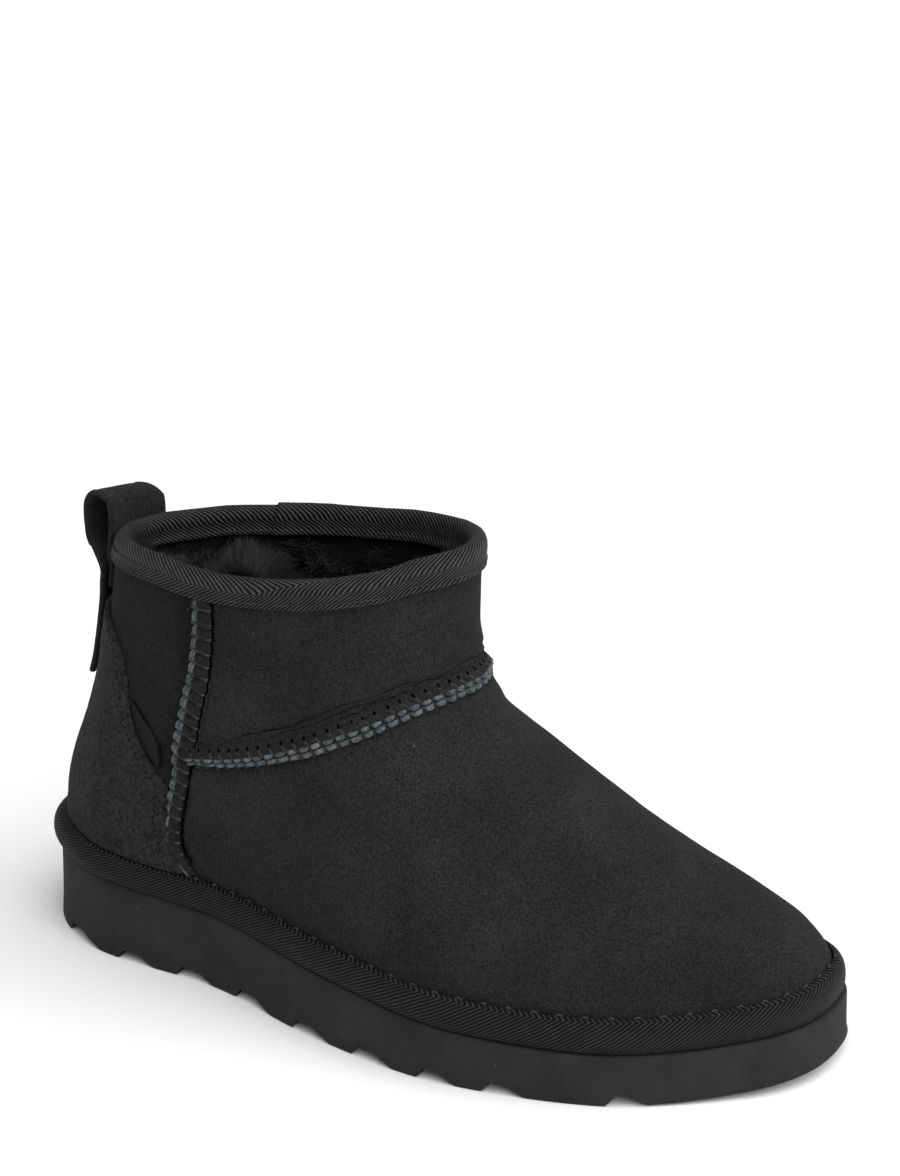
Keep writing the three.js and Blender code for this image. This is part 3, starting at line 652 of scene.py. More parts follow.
# ---- seam lines on the skin ----
class Seam:
    """A line on the skin, sampled evenly: points, directions along, across and out.

    across points the same way along a whole line: down on the collar seam, back on the side seams.
    """

    def __init__(self, knots, side, down=False, step=0.4):
        knots = np.array(knots, float)
        if down:
            rest = knots[-2::-1].copy()
            rest[:, 0] = 360 - rest[:, 0]
            knots = np.concatenate([knots, rest])
        knots[:, 0] *= side * DEG
        s = np.linspace(0, len(knots) - 1, 1200)
        a, l = (smooth(knots[:, c], s) for c in (0, 1))
        d = run_length(skin(a, l))
        self.length = d[-1]
        self.t = np.linspace(0, self.length, int(self.length / step) + 1)
        self.a, self.l = np.interp(self.t, d, a), np.interp(self.t, d, l)
        self.p = skin(self.a, self.l)
        self.n = skin_normal(self.a, self.l)
        self.along = unit(np.gradient(self.p, axis=0))
        across = unit(np.cross(self.n, self.along))
        self.across = across * np.sign(-across[:, 2 if down else 0].mean())

    def at(self, t, s, h):
        """Points t along, s across and h out of the skin."""
        t, s, h = np.broadcast_arrays(*(np.asarray(v, float) for v in (t, s, h)))
        p, across, n = (pick_at(t, self.t, rows) for rows in (self.p, self.across, self.n))
        return p + across * s[..., None] + n * h[..., None]

    def up(self, t):
        """The direction out of the skin."""
        return self.at(t, 0, 1) - self.at(t, 0, 0)

    def near(self, points):
        """For each point: distance to the line, place along it, and signed distance across."""
        skip, batch = 4, 20000
        flat, shape = points.reshape(-1, 3), points.shape[:-1]
        line = self.p[::skip]
        best = np.concatenate([squares(flat[k:k + batch], line).argmin(1)
                               for k in range(0, len(flat), batch)]) * skip
        gap = flat - self.p[best]
        across = (gap * self.across[best]).sum(1)
        along = (gap * self.along[best]).sum(1)
        return (np.linalg.norm(gap, axis=1).reshape(shape), (self.t[best] + along).reshape(shape),
                across.reshape(shape))


seam_collar = Seam(COLLAR_SEAM, 1, down=True)
seam_outer = Seam(SIDE_SEAM, 1)
seam_inner = Seam(SIDE_SEAM, -1)

PITCH_SIDE, PITCH_COLLAR = 4.55, 4.0
COLLAR_ZONE, SIDE_ZONE = (-5.2, 1.9), (-3.8, 3.5)   # across each seam, what its band and edges cover

# Soft creases: from turn, level to turn, level, how far the middle rises (in level),
# depth and half width in millimetres. The outer side's come first, then the front and the inner side.
CREASES = [
    # turn0, level0, turn1, level1, rise, depth, width
    [84.5, 0.62, 90, 0.72, 0.0, 0.5, 4.0], [86, 0.76, 100, 0.86, 0.02, 0.35, 6.0],
    [58, 0.70, 72, 0.62, 0.01, 0.30, 2.6], [56, 0.78, 74, 0.74, 0.01, 0.22, 2.2],
    [60, 0.88, 78, 0.80, 0.0, 0.22, 3.0], [120, 0.80, 150, 0.87, 0.0, 0.28, 6.0],
    [262, 0.76, 276, 0.86, 0.0, 0.35, 5.0], [240, 0.80, 262, 0.74, 0.0, 0.30, 4.0],
    [150, 0.52, 205, 0.54, 0.02, 0.55, 7.0], [112, 0.42, 138, 0.50, 0.0, 0.45, 7.0],
    [128, 0.30, 150, 0.40, 0.02, 0.40, 9.0], [95, 0.30, 118, 0.36, 0.01, 0.35, 8.0],
    [222, 0.44, 250, 0.38, 0.0, 0.45, 7.0], [205, 0.38, 232, 0.28, 0.0, 0.40, 8.0],
]

# Wrinkles in the shaft beside the collar seam: above0 and above1 are millimetres above the seam.
WRINKLES = [
    # turn0, above0, turn1, above1, bow, depth, width
    [86, 6.4, 103, 6.8, 0.3, 0.26, 0.8], [94, 6.0, 118, 7.4, 0.4, 0.38, 0.8],
    [99, 5.2, 126, 6.4, 0.3, 0.34, 0.7], [107, 7.4, 133, 8.4, 0.5, 0.38, 0.8],
    [116, 6.2, 138, 6.4, 0.6, 0.42, 0.8], [121, 5.0, 131, 4.4, 0.6, 0.36, 0.7],
    [129, 5.4, 144, 4.6, 0.8, 0.44, 0.7], [133, 7.6, 152, 6.8, 0.6, 0.42, 0.8],
    [139, 5.2, 151, 3.8, 0.8, 0.46, 0.7], [147, 6.2, 162, 4.6, 0.7, 0.44, 0.8],
    [150, 4.4, 160, 3.2, 0.8, 0.44, 0.7], [156, 5.4, 172, 4.0, 0.7, 0.44, 0.8],
    [163, 4.2, 176, 3.2, 0.6, 0.42, 0.7], [166, 6.6, 190, 5.6, 0.6, 0.40, 0.9],
    [178, 4.4, 196, 4.0, 0.6, 0.42, 0.8], [188, 6.6, 214, 6.2, 0.6, 0.38, 0.9],
    [200, 4.8, 222, 5.0, 0.5, 0.40, 0.8], [212, 7.0, 240, 6.6, 0.5, 0.36, 0.9],
    [228, 5.4, 256, 6.0, 0.4, 0.34, 0.8],
]


def wrinkle_line(row, count):
    """Turn and level along a wrinkle."""
    turn0, above0, turn1, above1, bow, _, _ = row
    u = np.linspace(0, 1, count)
    turn = lerp(turn0, turn1, u) * DEG
    above = lerp(above0, above1, u) + 4 * bow * u * (1 - u) + 0.14 * np.sin(u * 11 + turn0)
    return turn, np.interp(turn, seam_collar.a, seam_collar.l) + above / SHAFT


def crease_depth(points):
    """How far the creases press into the skin at these points, negative is in."""
    total = np.zeros(points.shape[:-1])
    flat = points.reshape(-1, 3)
    u = np.linspace(0, 1, 33)
    lines = []
    for a0, l0, a1, l1, rise, depth, width in CREASES:
        wave = 0.004 * np.sin(u * 17 + a0) * min(1, 2 / width)
        lines.append((skin(lerp(a0, a1, u) * DEG, lerp(l0, l1, u) + 4 * rise * u * (1 - u) + wave),
                      depth, width))
    for row in WRINKLES:
        lines.append((skin(*wrinkle_line(row, len(u))), row[5], row[6]))
    for line, depth, width in lines:
        d2 = squares(flat, line)
        best = d2.argmin(1)
        d = np.sqrt(np.maximum(d2[np.arange(len(flat)), best], 0))
        fade = np.clip(np.sin(np.pi * u[best]), 0, 1) ** 0.6
        dip = -np.exp(-(d / width) ** 2) + 0.45 * np.exp(-((d - 2.1 * width) / width) ** 2)
        total += (depth * fade * dip).reshape(points.shape[:-1])
    return total


def seam_pull(points, seam, zone, pitch):
    """The skin beside a seam: drawn in at the stitches and puffed up a little further away."""
    d, t, s = seam.near(points)
    beyond = np.maximum(np.maximum(zone[0] - s, s - zone[1]), 0)
    inside = np.exp(-(beyond / 0.9) ** 2)
    puff = 0.55 * np.exp(-((beyond - 5.5) / 3.6) ** 2)
    ticks = 0.30 * np.exp(-((beyond - 1.2) / 1.6) ** 2) * np.cos(2 * np.pi * t / pitch)
    fade = np.exp(-(np.maximum(d - 14, 0) / 5) ** 2)
    return (-0.6 * inside + puff - ticks) * fade


def unevenness(p):
    """The skin's own soft lumps, large to small."""
    return 0.35 * noise(p, 26.0) + 0.14 * noise(p, 9.0) + 0.05 * noise(p, 3.2)


# ---- upper: suede outside, wool inside ----
COLUMNS, LINING_COLUMNS = 440, 220
REAR_PAINTED_SHADE, FOOT_PAINTED_SHADE = 0.62, 0.84   # painted shade: how far the colour is darkened on the rear quarters and the vamp's foot
SUEDE_TOP = 0.965                     # level where the suede goes in under the binding


def even_ring(count):
    return np.arange(count) * 2 * np.pi / count


def counter_reach(level):
    return through([e[0] for e in COUNTER_EDGE], [e[1] for e in COUNTER_EDGE], level) * DEG


def build_suede():
    levels = np.concatenate([np.linspace(0, 0.40, 44)[:-1], np.linspace(0.40, 0.80, 84)[:-1],
                             np.linspace(0.80, SUEDE_TOP, 20)])
    turns = even_ring(COLUMNS)
    a, l = np.meshgrid(turns, levels)
    from_back = np.where(a > np.pi, 2 * np.pi - a, a)
    p, n = skin(a, l), skin_normal(a, l)
    pulls = ((seam_collar, COLLAR_ZONE, PITCH_COLLAR), (seam_outer, SIDE_ZONE, PITCH_SIDE),
             (seam_inner, SIDE_ZONE, PITCH_SIDE))
    lift = crease_depth(p) + unevenness(p)
    lift += np.where(l < 0.96, 1, 0) * sum(seam_pull(p, *pull) for pull in pulls)
    edge = np.clip(l / 0.08, 0, 1) * np.clip((0.955 - l) / 0.05, 0, 1)
    under = (from_back < counter_reach(l)) & (l < COUNTER_TOP)
    lift = np.where(under, np.minimum(lift, 0.1), lift) * edge
    tops = [off(turns, 0.985, depth) for depth in (-0.2, -1.4)]
    inner = [off(turns, v, -1.6) for v in np.linspace(SUEDE_TOP, 0.012, 26)]
    rings = np.concatenate([p + n * lift[..., None], np.stack(tops + inner)])
    quads = ring_quads(*rings.shape[:2], True)
    # painted shade: the rear quarters, behind the side seams, and the vamp's foot are darkened in the
    # colour for the shade they lie in
    seam_turn = np.interp(l, seam_outer.l[::-1], seam_outer.a[::-1])
    behind = np.clip((seam_turn - from_back) / 0.02 + 0.5, 0, 1)
    low = np.clip((0.30 - l) / 0.22, 0, 1)
    painted_light = np.ones(rings.shape[:2])
    painted_light[:len(levels)] = lerp(lerp(1.0, FOOT_PAINTED_SHADE, low), REAR_PAINTED_SHADE, behind)
    uv = np.stack([painted_light.ravel()[quads], 0 * quads], -1)
    mesh_piece("upper_suede", rings, quads, SUEDE_PAINTED_SHADE, ("upper",), uv)


def build_lining():
    a = even_ring(LINING_COLUMNS)
    rings = []
    for v in np.concatenate([np.linspace(0.02, 0.90, 56), [0.93, 0.955]])[::-1]:
        p = off(a, v, -wall_at(v) + 1.6)
        tuft = 1.2 * noise(p, 7.0) + 0.6 * noise(p, 3.5)
        rings.append(p - skin_normal(a, v) * (tuft * min(1, (0.96 - v) / 0.08))[..., None])
    rings += [off(a, v, -1.9) for v in np.linspace(0.02, 0.955, 24)]
    mesh_piece("wool_lining", np.stack(rings), ring_quads(len(rings), LINING_COLUMNS, True), WOOL)


# ---- heel counter ----
EDGE_STEPS = np.array([0, 0.12, 0.35, 0.7, 1.15, 1.8, 2.6])
COUNTER_RADIUS = 32.0             # millimetres for each radian of turn round the heel
COUNTER_FROM = 0.18               # below this level the counter's rows follow the roll


def level_at_height(a, up):
    """Level where the skin stands that high over the deck."""
    floor = skin(a, 0)[..., 2]
    lo, hi = np.zeros_like(a), np.full_like(a, 0.4)
    for _ in range(22):
        mid = (lo + hi) / 2
        less = skin(a, mid)[..., 2] - floor < up
        lo, hi = np.where(less, mid, lo), np.where(less, hi, mid)
    return np.where(np.asarray(up) <= 0, 0, hi)


def roll_height(x):
    return lerp(ROLL_HEEL, ROLL_TOE, np.clip(x / SOLE_LENGTH, 0, 1))


def counter_map(level, a):
    low = level_at_height(a, roll_height(skin(a, 0)[..., 0]) + 0.6)
    return np.where(level < COUNTER_FROM, lerp(low, COUNTER_FROM, level / COUNTER_FROM), level)


def build_counter():
    high = 118                    # millimetres for each level, near the counter's top
    rows = np.concatenate([np.linspace(0, 0.60, 60)[:-1], np.linspace(0.60, COUNTER_TOP, 52)])[:, None]
    reach = counter_reach(rows)
    near = EDGE_STEPS / COUNTER_RADIUS
    a = np.concatenate([near[:-1] - reach, (reach - near[-1]) * np.linspace(-1, 1, 118),
                        reach - near[-2::-1]], 1)
    l = counter_map(rows, a)
    from_edge = (reach - np.abs(a)) * COUNTER_RADIUS
    gap = np.minimum(from_edge, np.maximum((COUNTER_TOP - rows) * high, 0))
    rounded = np.sqrt(1 - (1 - np.clip(gap / 1.3, 0, 1)) ** 2)
    p = skin(a, l)
    rough = 0.10 * noise(p, 8.0) + 0.06 * noise(p, 3.0)
    stitch_dip = -0.18 * np.exp(-((gap - 1.5) / 0.6) ** 2)
    out = SEAT + COUNTER * (0.12 + 0.88 * rounded) + (rough + stitch_dip) * np.clip(gap / 3, 0, 1)
    slab_piece("heel_counter_suede", off(a, l, out), off(a, l, 0.25), SUEDE_COUNTER,
               ("heel_counter",))


# ---- taped roll ----
def roll_point(a, out, up):
    base = skin(a, 0)
    part = np.clip(base[..., 0] / SOLE_LENGTH, 0, 1)
    level = level_at_height(a, roll_height(base[..., 0]) * up)
    p, n = skin(a, level), skin_normal(a, level)
    side = unit(n * [1, 1, 0])
    ex, ey = sole_edge(a, 0)
    far = ((ex - p[..., 0]) * side[..., 0] + (ey - p[..., 1]) * side[..., 1]
           + lerp(ROLL_OUT, ROLL_OUT_TOE, part))
    near = GAP / np.maximum(0.4, (n * side).sum(-1))
    return p + side * lerp(near, far, out)[..., None]


ROLL_LENGTH, COLLAR_LENGTH = 342 * 2.1, 175 * 2.0   # a whole number of ribs each
TAPE_COLUMNS = 560


def build_roll():
    a = even_turns(TAPE_COLUMNS)
    s = np.concatenate([np.linspace(0, 1, 5)[:-1], np.linspace(1, 7, 22)[:-1], np.linspace(7, 8, 3)])
    shape = np.array(ROLL_SHAPE)
    rings = np.stack([roll_point(a, out, max(up, 0))
                      for out, up in zip(smooth(shape[:, 0], s), smooth(shape[:, 1], s))])
    step = np.linalg.norm(np.diff(rings[:, ::40], axis=0), axis=-1).mean(1)
    v = np.concatenate([[0], np.cumsum(step), [step.sum() + 5]])
    wave = 0.12 * noise(rings, 11.0) + 0.05 * noise(rings, 4.0)
    shown = np.where((s > 1.2) & (s < 6.8), 1, 0)[:, None]
    rings = rings + unit(rings - rings.mean(0, keepdims=True)) * (wave * shown)[..., None]
    mesh_piece("welt_roll_tape", rings, ring_quads(len(s), TAPE_COLUMNS, True), TAPE_ROLL,
               ("welt_roll",), ring_uv(len(s), TAPE_COLUMNS, True, ROLL_LENGTH, v))


# ---- binding ----
SPLICE, LAP = 298.0, 0.95         # turn where the binding's ends overlap, on the inner side, and how much
RIM_ROUND = 3.0                   # height of the rounding over the rim
RIM_ACROSS, INNER_LEG = 9.0, 14.2 # width of tape over the rim, and the v where its inner leg starts
HIDDEN = (23.0, 26.0, 30.0)       # v of the inner leg's back, the rim's underside, the outer leg's back


def build_binding():
    a = even_turns(TAPE_COLUMNS, 1.0)
    top = skin(a, 1)[..., 2]
    past = SPLICE - a / DEG
    lap = np.where(past > 0, np.exp(-(past / 16) ** 2), 0) * LAP

    def leg(mm, d, inside=False):
        level = 1 - mm / SHAFT
        return off(a, level, (-wall_at(level) - d if inside else d) + 0 * a)

    def rim(frac, d):
        """Over the rim from its outer face (0) to its inner one (1)."""
        half = WALL_RIM / 2
        p = off(a, 1, -half + (half + GAP + d) * np.cos(frac * np.pi) + 0 * a)
        p[..., 2] = top - RIM_ROUND + (RIM_ROUND + GAP + d * 0.9) * np.sin(frac * np.pi) ** 0.72
        return p

    def thickness(mm, edge):
        """The tape's, with a selvedge along its edge."""
        selvedge = (0.34 * np.exp(-((mm - (BIND_OUT - 0.55)) / 0.5) ** 2)
                    - 0.30 * np.exp(-((mm - (BIND_OUT - 1.7)) / 0.55) ** 2))
        return TAPE * min(1, 0.55 + (edge - mm) * 1.2) + selvedge

    rows = []
    for mm in BIND_OUT - np.array([0, 0.15, 0.4, 0.7, 1.1, 1.6, 2.1, 2.7, 3.3, 3.8, 4.3]):
        thick = thickness(mm, BIND_OUT) + 0.2 * math.sin(math.pi * mm / BIND_OUT)
        rows.append((leg(mm, GAP + thick + lap), BIND_OUT - mm))
    for frac in (0.0, 0.08, 0.17, 0.27, 0.38, 0.5, 0.62, 0.73, 0.83, 0.92, 1.0):
        rows.append((rim(frac, TAPE + 0.1 + lap), INNER_LEG - (1 - frac) * RIM_ACROSS))
    for mm in (3.7, 4.6, 5.6, 6.6, 7.4, 8.0, 8.4):
        rows.append((leg(mm, GAP + thickness(mm, BIND_IN) + lap, True), INNER_LEG + mm - RIM_ROUND))
    for mm in (8.4, 6.0, 4.0):
        rows.append((leg(mm, GAP, True), HIDDEN[0]))
    for frac in (0.9, 0.7, 0.5, 0.3, 0.1):
        p = rim(frac, 0)
        p[..., 2] = np.minimum(p[..., 2], top + GAP)
        rows.append((p, HIDDEN[1]))
    for mm in (4.0, 6.0, BIND_OUT):
        rows.append((leg(mm, GAP), HIDDEN[2]))
    rings = np.stack([row[0] for row in rows])
    wave = 0.16 * noise(rings, 10.0) + 0.07 * noise(rings, 4.0)
    rings[:, :, 2] += wave * 0.8 + 0.5 * noise(rings * [1, 1, 0.2], 24.0)
    rings += skin_normal(a, 0.97)[None] * (wave * 0.5)[..., None]
    mesh_piece("collar_binding_tape", rings, ring_quads(len(rows), TAPE_COLUMNS, True), TAPE_COLLAR,
               ("collar_binding",),
               ring_uv(len(rows), TAPE_COLUMNS, True, COLLAR_LENGTH, [row[1] for row in rows]))


# ---- outsole ----
def under_profile():
    """Height of the tread's underside along the boot: x and z, with the lugs' corners softened."""
    start, end, step, soften, reach = -4, 276, 0.1, 0.55, 20
    floor = lambda x: float(through(DECK_X, DECK_FLOOR, x))
    rows = [[start, floor(0) + 0.6]]
    for k, (x0, x1) in enumerate(LUGS):
        if k:
            x = lerp(LUGS[k - 1][1], x0, 0.52)
            rows.append([x, floor(x) + LUG_DEPTH])
        rows += [[x, floor(x)] for x in [x0, *np.arange(x0 + 4, x1 - 1, 4), x1]]
        if k < len(LUGS) - 1:
            rows.append([x1 + 1.6, floor(x1 + 1.6) + LUG_DEPTH])
    rows = np.array(rows + [[end, floor(264) + 1.6]])
    x = np.arange(start, end, step)
    z = np.interp(x, rows[:, 0], rows[:, 1])
    kernel = np.exp(-(np.arange(-reach, reach + 1) * step / soften) ** 2)
    soft = np.convolve(np.pad(z, reach, mode="edge"), kernel / kernel.sum(), mode="valid")
    return x, np.maximum(soft, z.min())


def there_and_back(half):
    """Turns along the outer side, then back along the inner one, mirrored."""
    return np.concatenate([half, 2 * np.pi - half[::-1]])


def build_outsole():
    px, pz = under_profile()
    under = lambda x: np.interp(x, px, pz)
    xs = np.arange(0.9, SOLE_LENGTH, 0.9)
    half = np.unique(np.concatenate([np.linspace(0.02, np.pi - 0.02, 120),
                                     np.arccos(1 - 2 * xs / SOLE_LENGTH)]))
    a = there_and_back(half[np.concatenate([[True], np.diff(half) > 0.0012])])
    walls = np.array([[1.0, FLARE], [9, 0.35], [17, 0.1], [40, 0]])
    bx, _ = sole_edge(a, FLARE)
    z0, z1 = under(bx), deck_top(bx)
    rings = []

    def add(grow, z_of):
        x, y = sole_edge(a, grow)
        rings.append(np.stack([x, y, z_of(x)], -1))
    # a small rounding at the foot, up the wall, then the rounded edge of the deck
    for rise, inset in ((0, 0.7), (0.12, 0.3), (0.4, 0.08), (0.9, 0.0)):
        add(FLARE - inset, lambda x: z0 + rise)
    for frac in (0.14, 0.26, 0.38, 0.5, 0.62, 0.74, 0.86, 0.94):
        z = lerp(z0 + 0.9, z1 - 0.5, frac)
        add(np.interp(z, walls[:, 0], walls[:, 1]) + 0.12 * np.sin(np.pi * frac), lambda x: z)
    for drop, inset in ((0.5, 0.0), (0.12, 0.25), (0.0, 0.7), (0.0, 4.0)):
        add(-inset, lambda x: deck_top(x) - drop)
    rings = np.stack(rings)
    rings[3:-3, :, :2] += 0.06 * noise(rings, 6.0)[3:-3, :, None]

    def follow(height):
        def settle(grid):
            grid[..., 2] = height(grid[..., 0])
            return grid
        return settle
    decked_piece("outsole_foam", rings, ((14, follow(under)), (6, follow(deck_top))), FOAM,
                 ("outsole",))


# ---- pull loop ----
LEVEL_FROM = -6.0                 # from here up the loop stands off level, not square to the skin
FREE_OUT, FREE_OUT_RUN, FREE_MOST = 3.6, 4.0, 0.95
FREE_UP, FREE_UP_RUN = -14.0, 8.0 # further out and further up than these the loop holds its own shape
LEAN_FROM, LEAN_RUN = -2.0, 8.0


def turn_at_y(level, y):
    lo, hi = np.full(np.shape(y), -1.1), np.full(np.shape(y), 1.1)
    for _ in range(40):
        mid = (lo + hi) / 2
        more = skin(mid, level)[..., 1] > y
        lo, hi = np.where(more, mid, lo), np.where(more, hi, mid)
    return (lo + hi) / 2


def loop_middle(over, out, u):
    """Middle of the strip: over the rim, off the skin, and u from -1 to 1 across."""
    over, out, u = np.broadcast_arrays(over, out, u)
    span = skin(0.0, 1.0)[2] - skin(0.0, 0.0)[2]
    level, rise = np.clip(1 + over / span, 0, 1), np.maximum(over, 0)
    y = LOOP_Y + u * LOOP_WIDE / 2

    def strip_at(y):
        a = turn_at_y(level, y)
        n = skin_normal(a, level)
        n = np.where((over > LEVEL_FROM)[..., None], unit(n * [1, 1, 0]), n)
        return skin(a, level) + n * out[..., None]
    p, p0 = strip_at(y), strip_at(LOOP_Y + 0 * y)
    p0[..., 1] = y
    free = np.clip((out - FREE_OUT) / FREE_OUT_RUN, 0, FREE_MOST)
    free = free * np.clip((over - FREE_UP) / FREE_UP_RUN, 0, 1)
    middle = lerp(p, p0, free[..., None])
    middle[..., 2] += rise - LOOP_LEAN * (y - LOOP_Y) * np.clip((over - LEAN_FROM) / LEAN_RUN, 0, 1)
    return middle


def sheet_face(mid):
    """The direction out of a grid of points."""
    return unit(np.cross(np.gradient(mid, axis=1), np.gradient(mid, axis=0)))


def build_loop():
    run = np.array(LOOP_RUN)
    s = np.linspace(0, len(run) - 1, 190)
    right = [0.2, 0.4, 0.6, 0.78, 0.87, 0.94, 0.985, 1]
    u = np.array([-v for v in right[::-1]] + [0] + right)
    mid = loop_middle(smooth(run[:, 0], s)[:, None], smooth(run[:, 1], s)[:, None], u[None])
    bead = 1 - np.clip((np.abs(u) - 0.88) / 0.12, 0, 1) ** 3 * 0.75
    swell = 0.16 * (np.exp(-((np.abs(u) - 0.9) / 0.05) ** 2) - np.exp(-((np.abs(u) - 0.76) / 0.05) ** 2))
    half = (LOOP_THICK / 2 * bead + swell)[None]
    face = sheet_face(mid)
    slab_piece("pull_loop_suede", mid + face * (half + 0.10 * noise(mid, 5.0))[..., None],
               mid - face * (half * 0.96)[..., None], SUEDE_LOOP, ("pull_loop",))


# ---- side tag ----
TAG_HALF = 0.17                   # half the ribbon's thickness
TAG_LOW, TAG_HIGH = 0.38, 0.75    # how far its lower and upper layer lie off the skin


def build_tag():
    rows = np.array(TAG_ROWS)
    s = np.linspace(0, len(rows) - 1, 40)
    level, sewn, fold = (smooth(rows[:, c], s)[:, None] for c in range(3))
    # the ribbon goes out along the skin, turns round at its fold and comes back underneath
    bend = 0.9 + 0.1 * np.sin(np.linspace(0.2, 1, 8) * np.pi / 2)
    u = np.concatenate([np.linspace(0, 0.9, 12), bend, bend[-2::-1], np.linspace(0.9, 0.05, 10)])
    way = np.linspace(0, 1, len(u))
    opening = np.interp(s / s[-1], [0, 0.35, 0.75, 1], [0.25, 0.5, 1.25, 1.0])[:, None]
    high = TAG_HIGH + opening * np.sin(u * np.pi * 0.62) * 0.75
    turned = np.clip((way - 0.42) / 0.16, 0, 1)
    turned = turned * turned * (3 - 2 * turned)
    mid = off((sewn + (fold - sewn) * u) * DEG, level, lerp(high, TAG_LOW, turned))
    face = sheet_face(mid)
    slab_piece("side_tag_ribbon", mid + face * TAG_HALF, mid - face * TAG_HALF, TAG_TAPE,
               ("side_tag",), (16.0, 20.0))


# ---- sock ----
def inner_foot(a, inset):
    """The inner wall's foot as seen from above, moved in by inset."""
    return off(a, 0.05, -WALL) - unit(skin_normal(a, 0.05) * [1, 1, 0]) * inset


def build_sock():
    a = there_and_back(np.linspace(0.03, np.pi - 0.03, 110))
    rings = []
    for inset, up in ((0.9, 0.6), (0.9, SOCK - 1.8), (1.8, SOCK - 0.4), (4.0, SOCK)):
        p = inner_foot(a, inset)
        p[..., 2] = deck_top(p[..., 0]) + GAP + up
        rings.append(p)

    def under(grid):
        grid[..., 2] = deck_top(grid[..., 0]) + GAP + 0.6
        return grid

    def pile(grid):
        grid[..., 2] = deck_top(grid[..., 0]) + GAP + SOCK
        grid[..., 2] += 0.7 * noise(grid, 6.0) + 0.35 * noise(grid, 3.0)
        return grid
    decked_piece("sock_wool", np.stack(rings), ((4, under), (40, pile)), WOOL, ("sock",))


# ---- whip-stitched seams ----
LOBE_STEPS = np.array([0, 0.035, 0.07, 0.12, 0.2, 0.32, 0.5, 0.68, 0.8, 0.88, 0.93, 0.965])


def lobe(phase, depth, power, gap):
    """1 in the middle of a lobe, 1 - depth in the gap between two."""
    n = np.minimum(np.abs(phase - 0.5) * 2 * gap, 1)
    return 1 - depth + depth * np.sqrt(1 - n ** power)


def sweep_piece(name, seam, t, s, h, material):
    """Closed bar along a seam; s and h are (points along, points round)."""
    mesh_piece(name, seam.at(t[:, None], s, h), ring_quads(*s.shape, False), material,
               polys=end_caps(*s.shape))


# Section of the band, from its stitched foot to its crest, then back underneath: across and height.
COLLAR_BAND = [
    [-6.4, -0.5], [-5.9, -0.05], [-5.2, 0.25], [-4.4, 0.55], [-3.6, 1.0], [-2.8, 1.5], [-2.2, 1.85],
    [-1.75, 1.95], [-1.5, 1.5], [-1.5, -0.3], [-3.5, -0.7], [-5.8, -0.8],
]
SIDE_BAND = [
    [-3.7, -0.5], [-3.75, 0.15], [-3.5, 0.9], [-2.95, 1.6], [-2.05, 2.15], [-0.95, 2.4], [0.05, 2.3],
    [0.85, 1.9], [1.4, 1.2], [1.45, -0.3], [-0.75, -0.6], [-3.15, -0.7],
]
CREST = 8                         # how many points of a band lead up to its crest and over it
# The cut edges: middle across, middle height, half width and half height.
COLLAR_EDGES = [[-0.85, 1.35, 0.86, 1.20], [1.20, 0.90, 0.86, 1.15]]
SIDE_EDGES = [[2.05, 0.90, 0.75, 1.15], [3.60, 0.50, 0.68, 0.95]]
# Across each seam: where the threads' holes lie, and where dark tubes of painted shade lie, at the holes
# on the collar seam and along the notches on the side seams.
COLLAR_HOLE, SIDE_HOLE, SIDE_SLIT = (-4.75, -3.25), (-3.95, -3.5), (-3.8, 1.3)
NOTCH = 0.92                      # how deep the cut edges are drawn in between two lobes
STRANDS, STRAND_RADIUS = (-0.24, 0.26), 0.17


def thread_path(band, edges, hole, depth):
    """One thread over a notch, from its hole to the far cut edge: across and height."""
    foot, crest = band[:CREST, 0], band[CREST - 1, 0]
    over_s = np.array([hole[1] - 0.4, *lerp(hole[1], crest, np.array([0, 0.3, 0.6, 0.85, 1.0]))])
    over_h = np.interp(over_s, foot, band[:CREST, 1]) * (1 - depth) + 0.13 + 0.45 * depth ** 3
    over_h[0] -= 0.3
    (near_s, near_h, _, near_tall), (far_s, far_h, far_wide, far_tall) = edges
    last = far_s + far_wide
    edge_s = lerp(crest, last, np.array([0.28, 0.55, 0.82, 1.05]))
    edge_h = np.interp(edge_s, [crest, near_s, far_s, last],
                       [over_h[-1], (near_h + near_tall) * (1 - NOTCH) + 0.45,
                        (far_h + far_tall) * (1 - NOTCH) + 0.35, 0.2])
    edge_h[-1] = -0.2
    return np.concatenate([over_s, edge_s]), np.concatenate([over_h, edge_h])


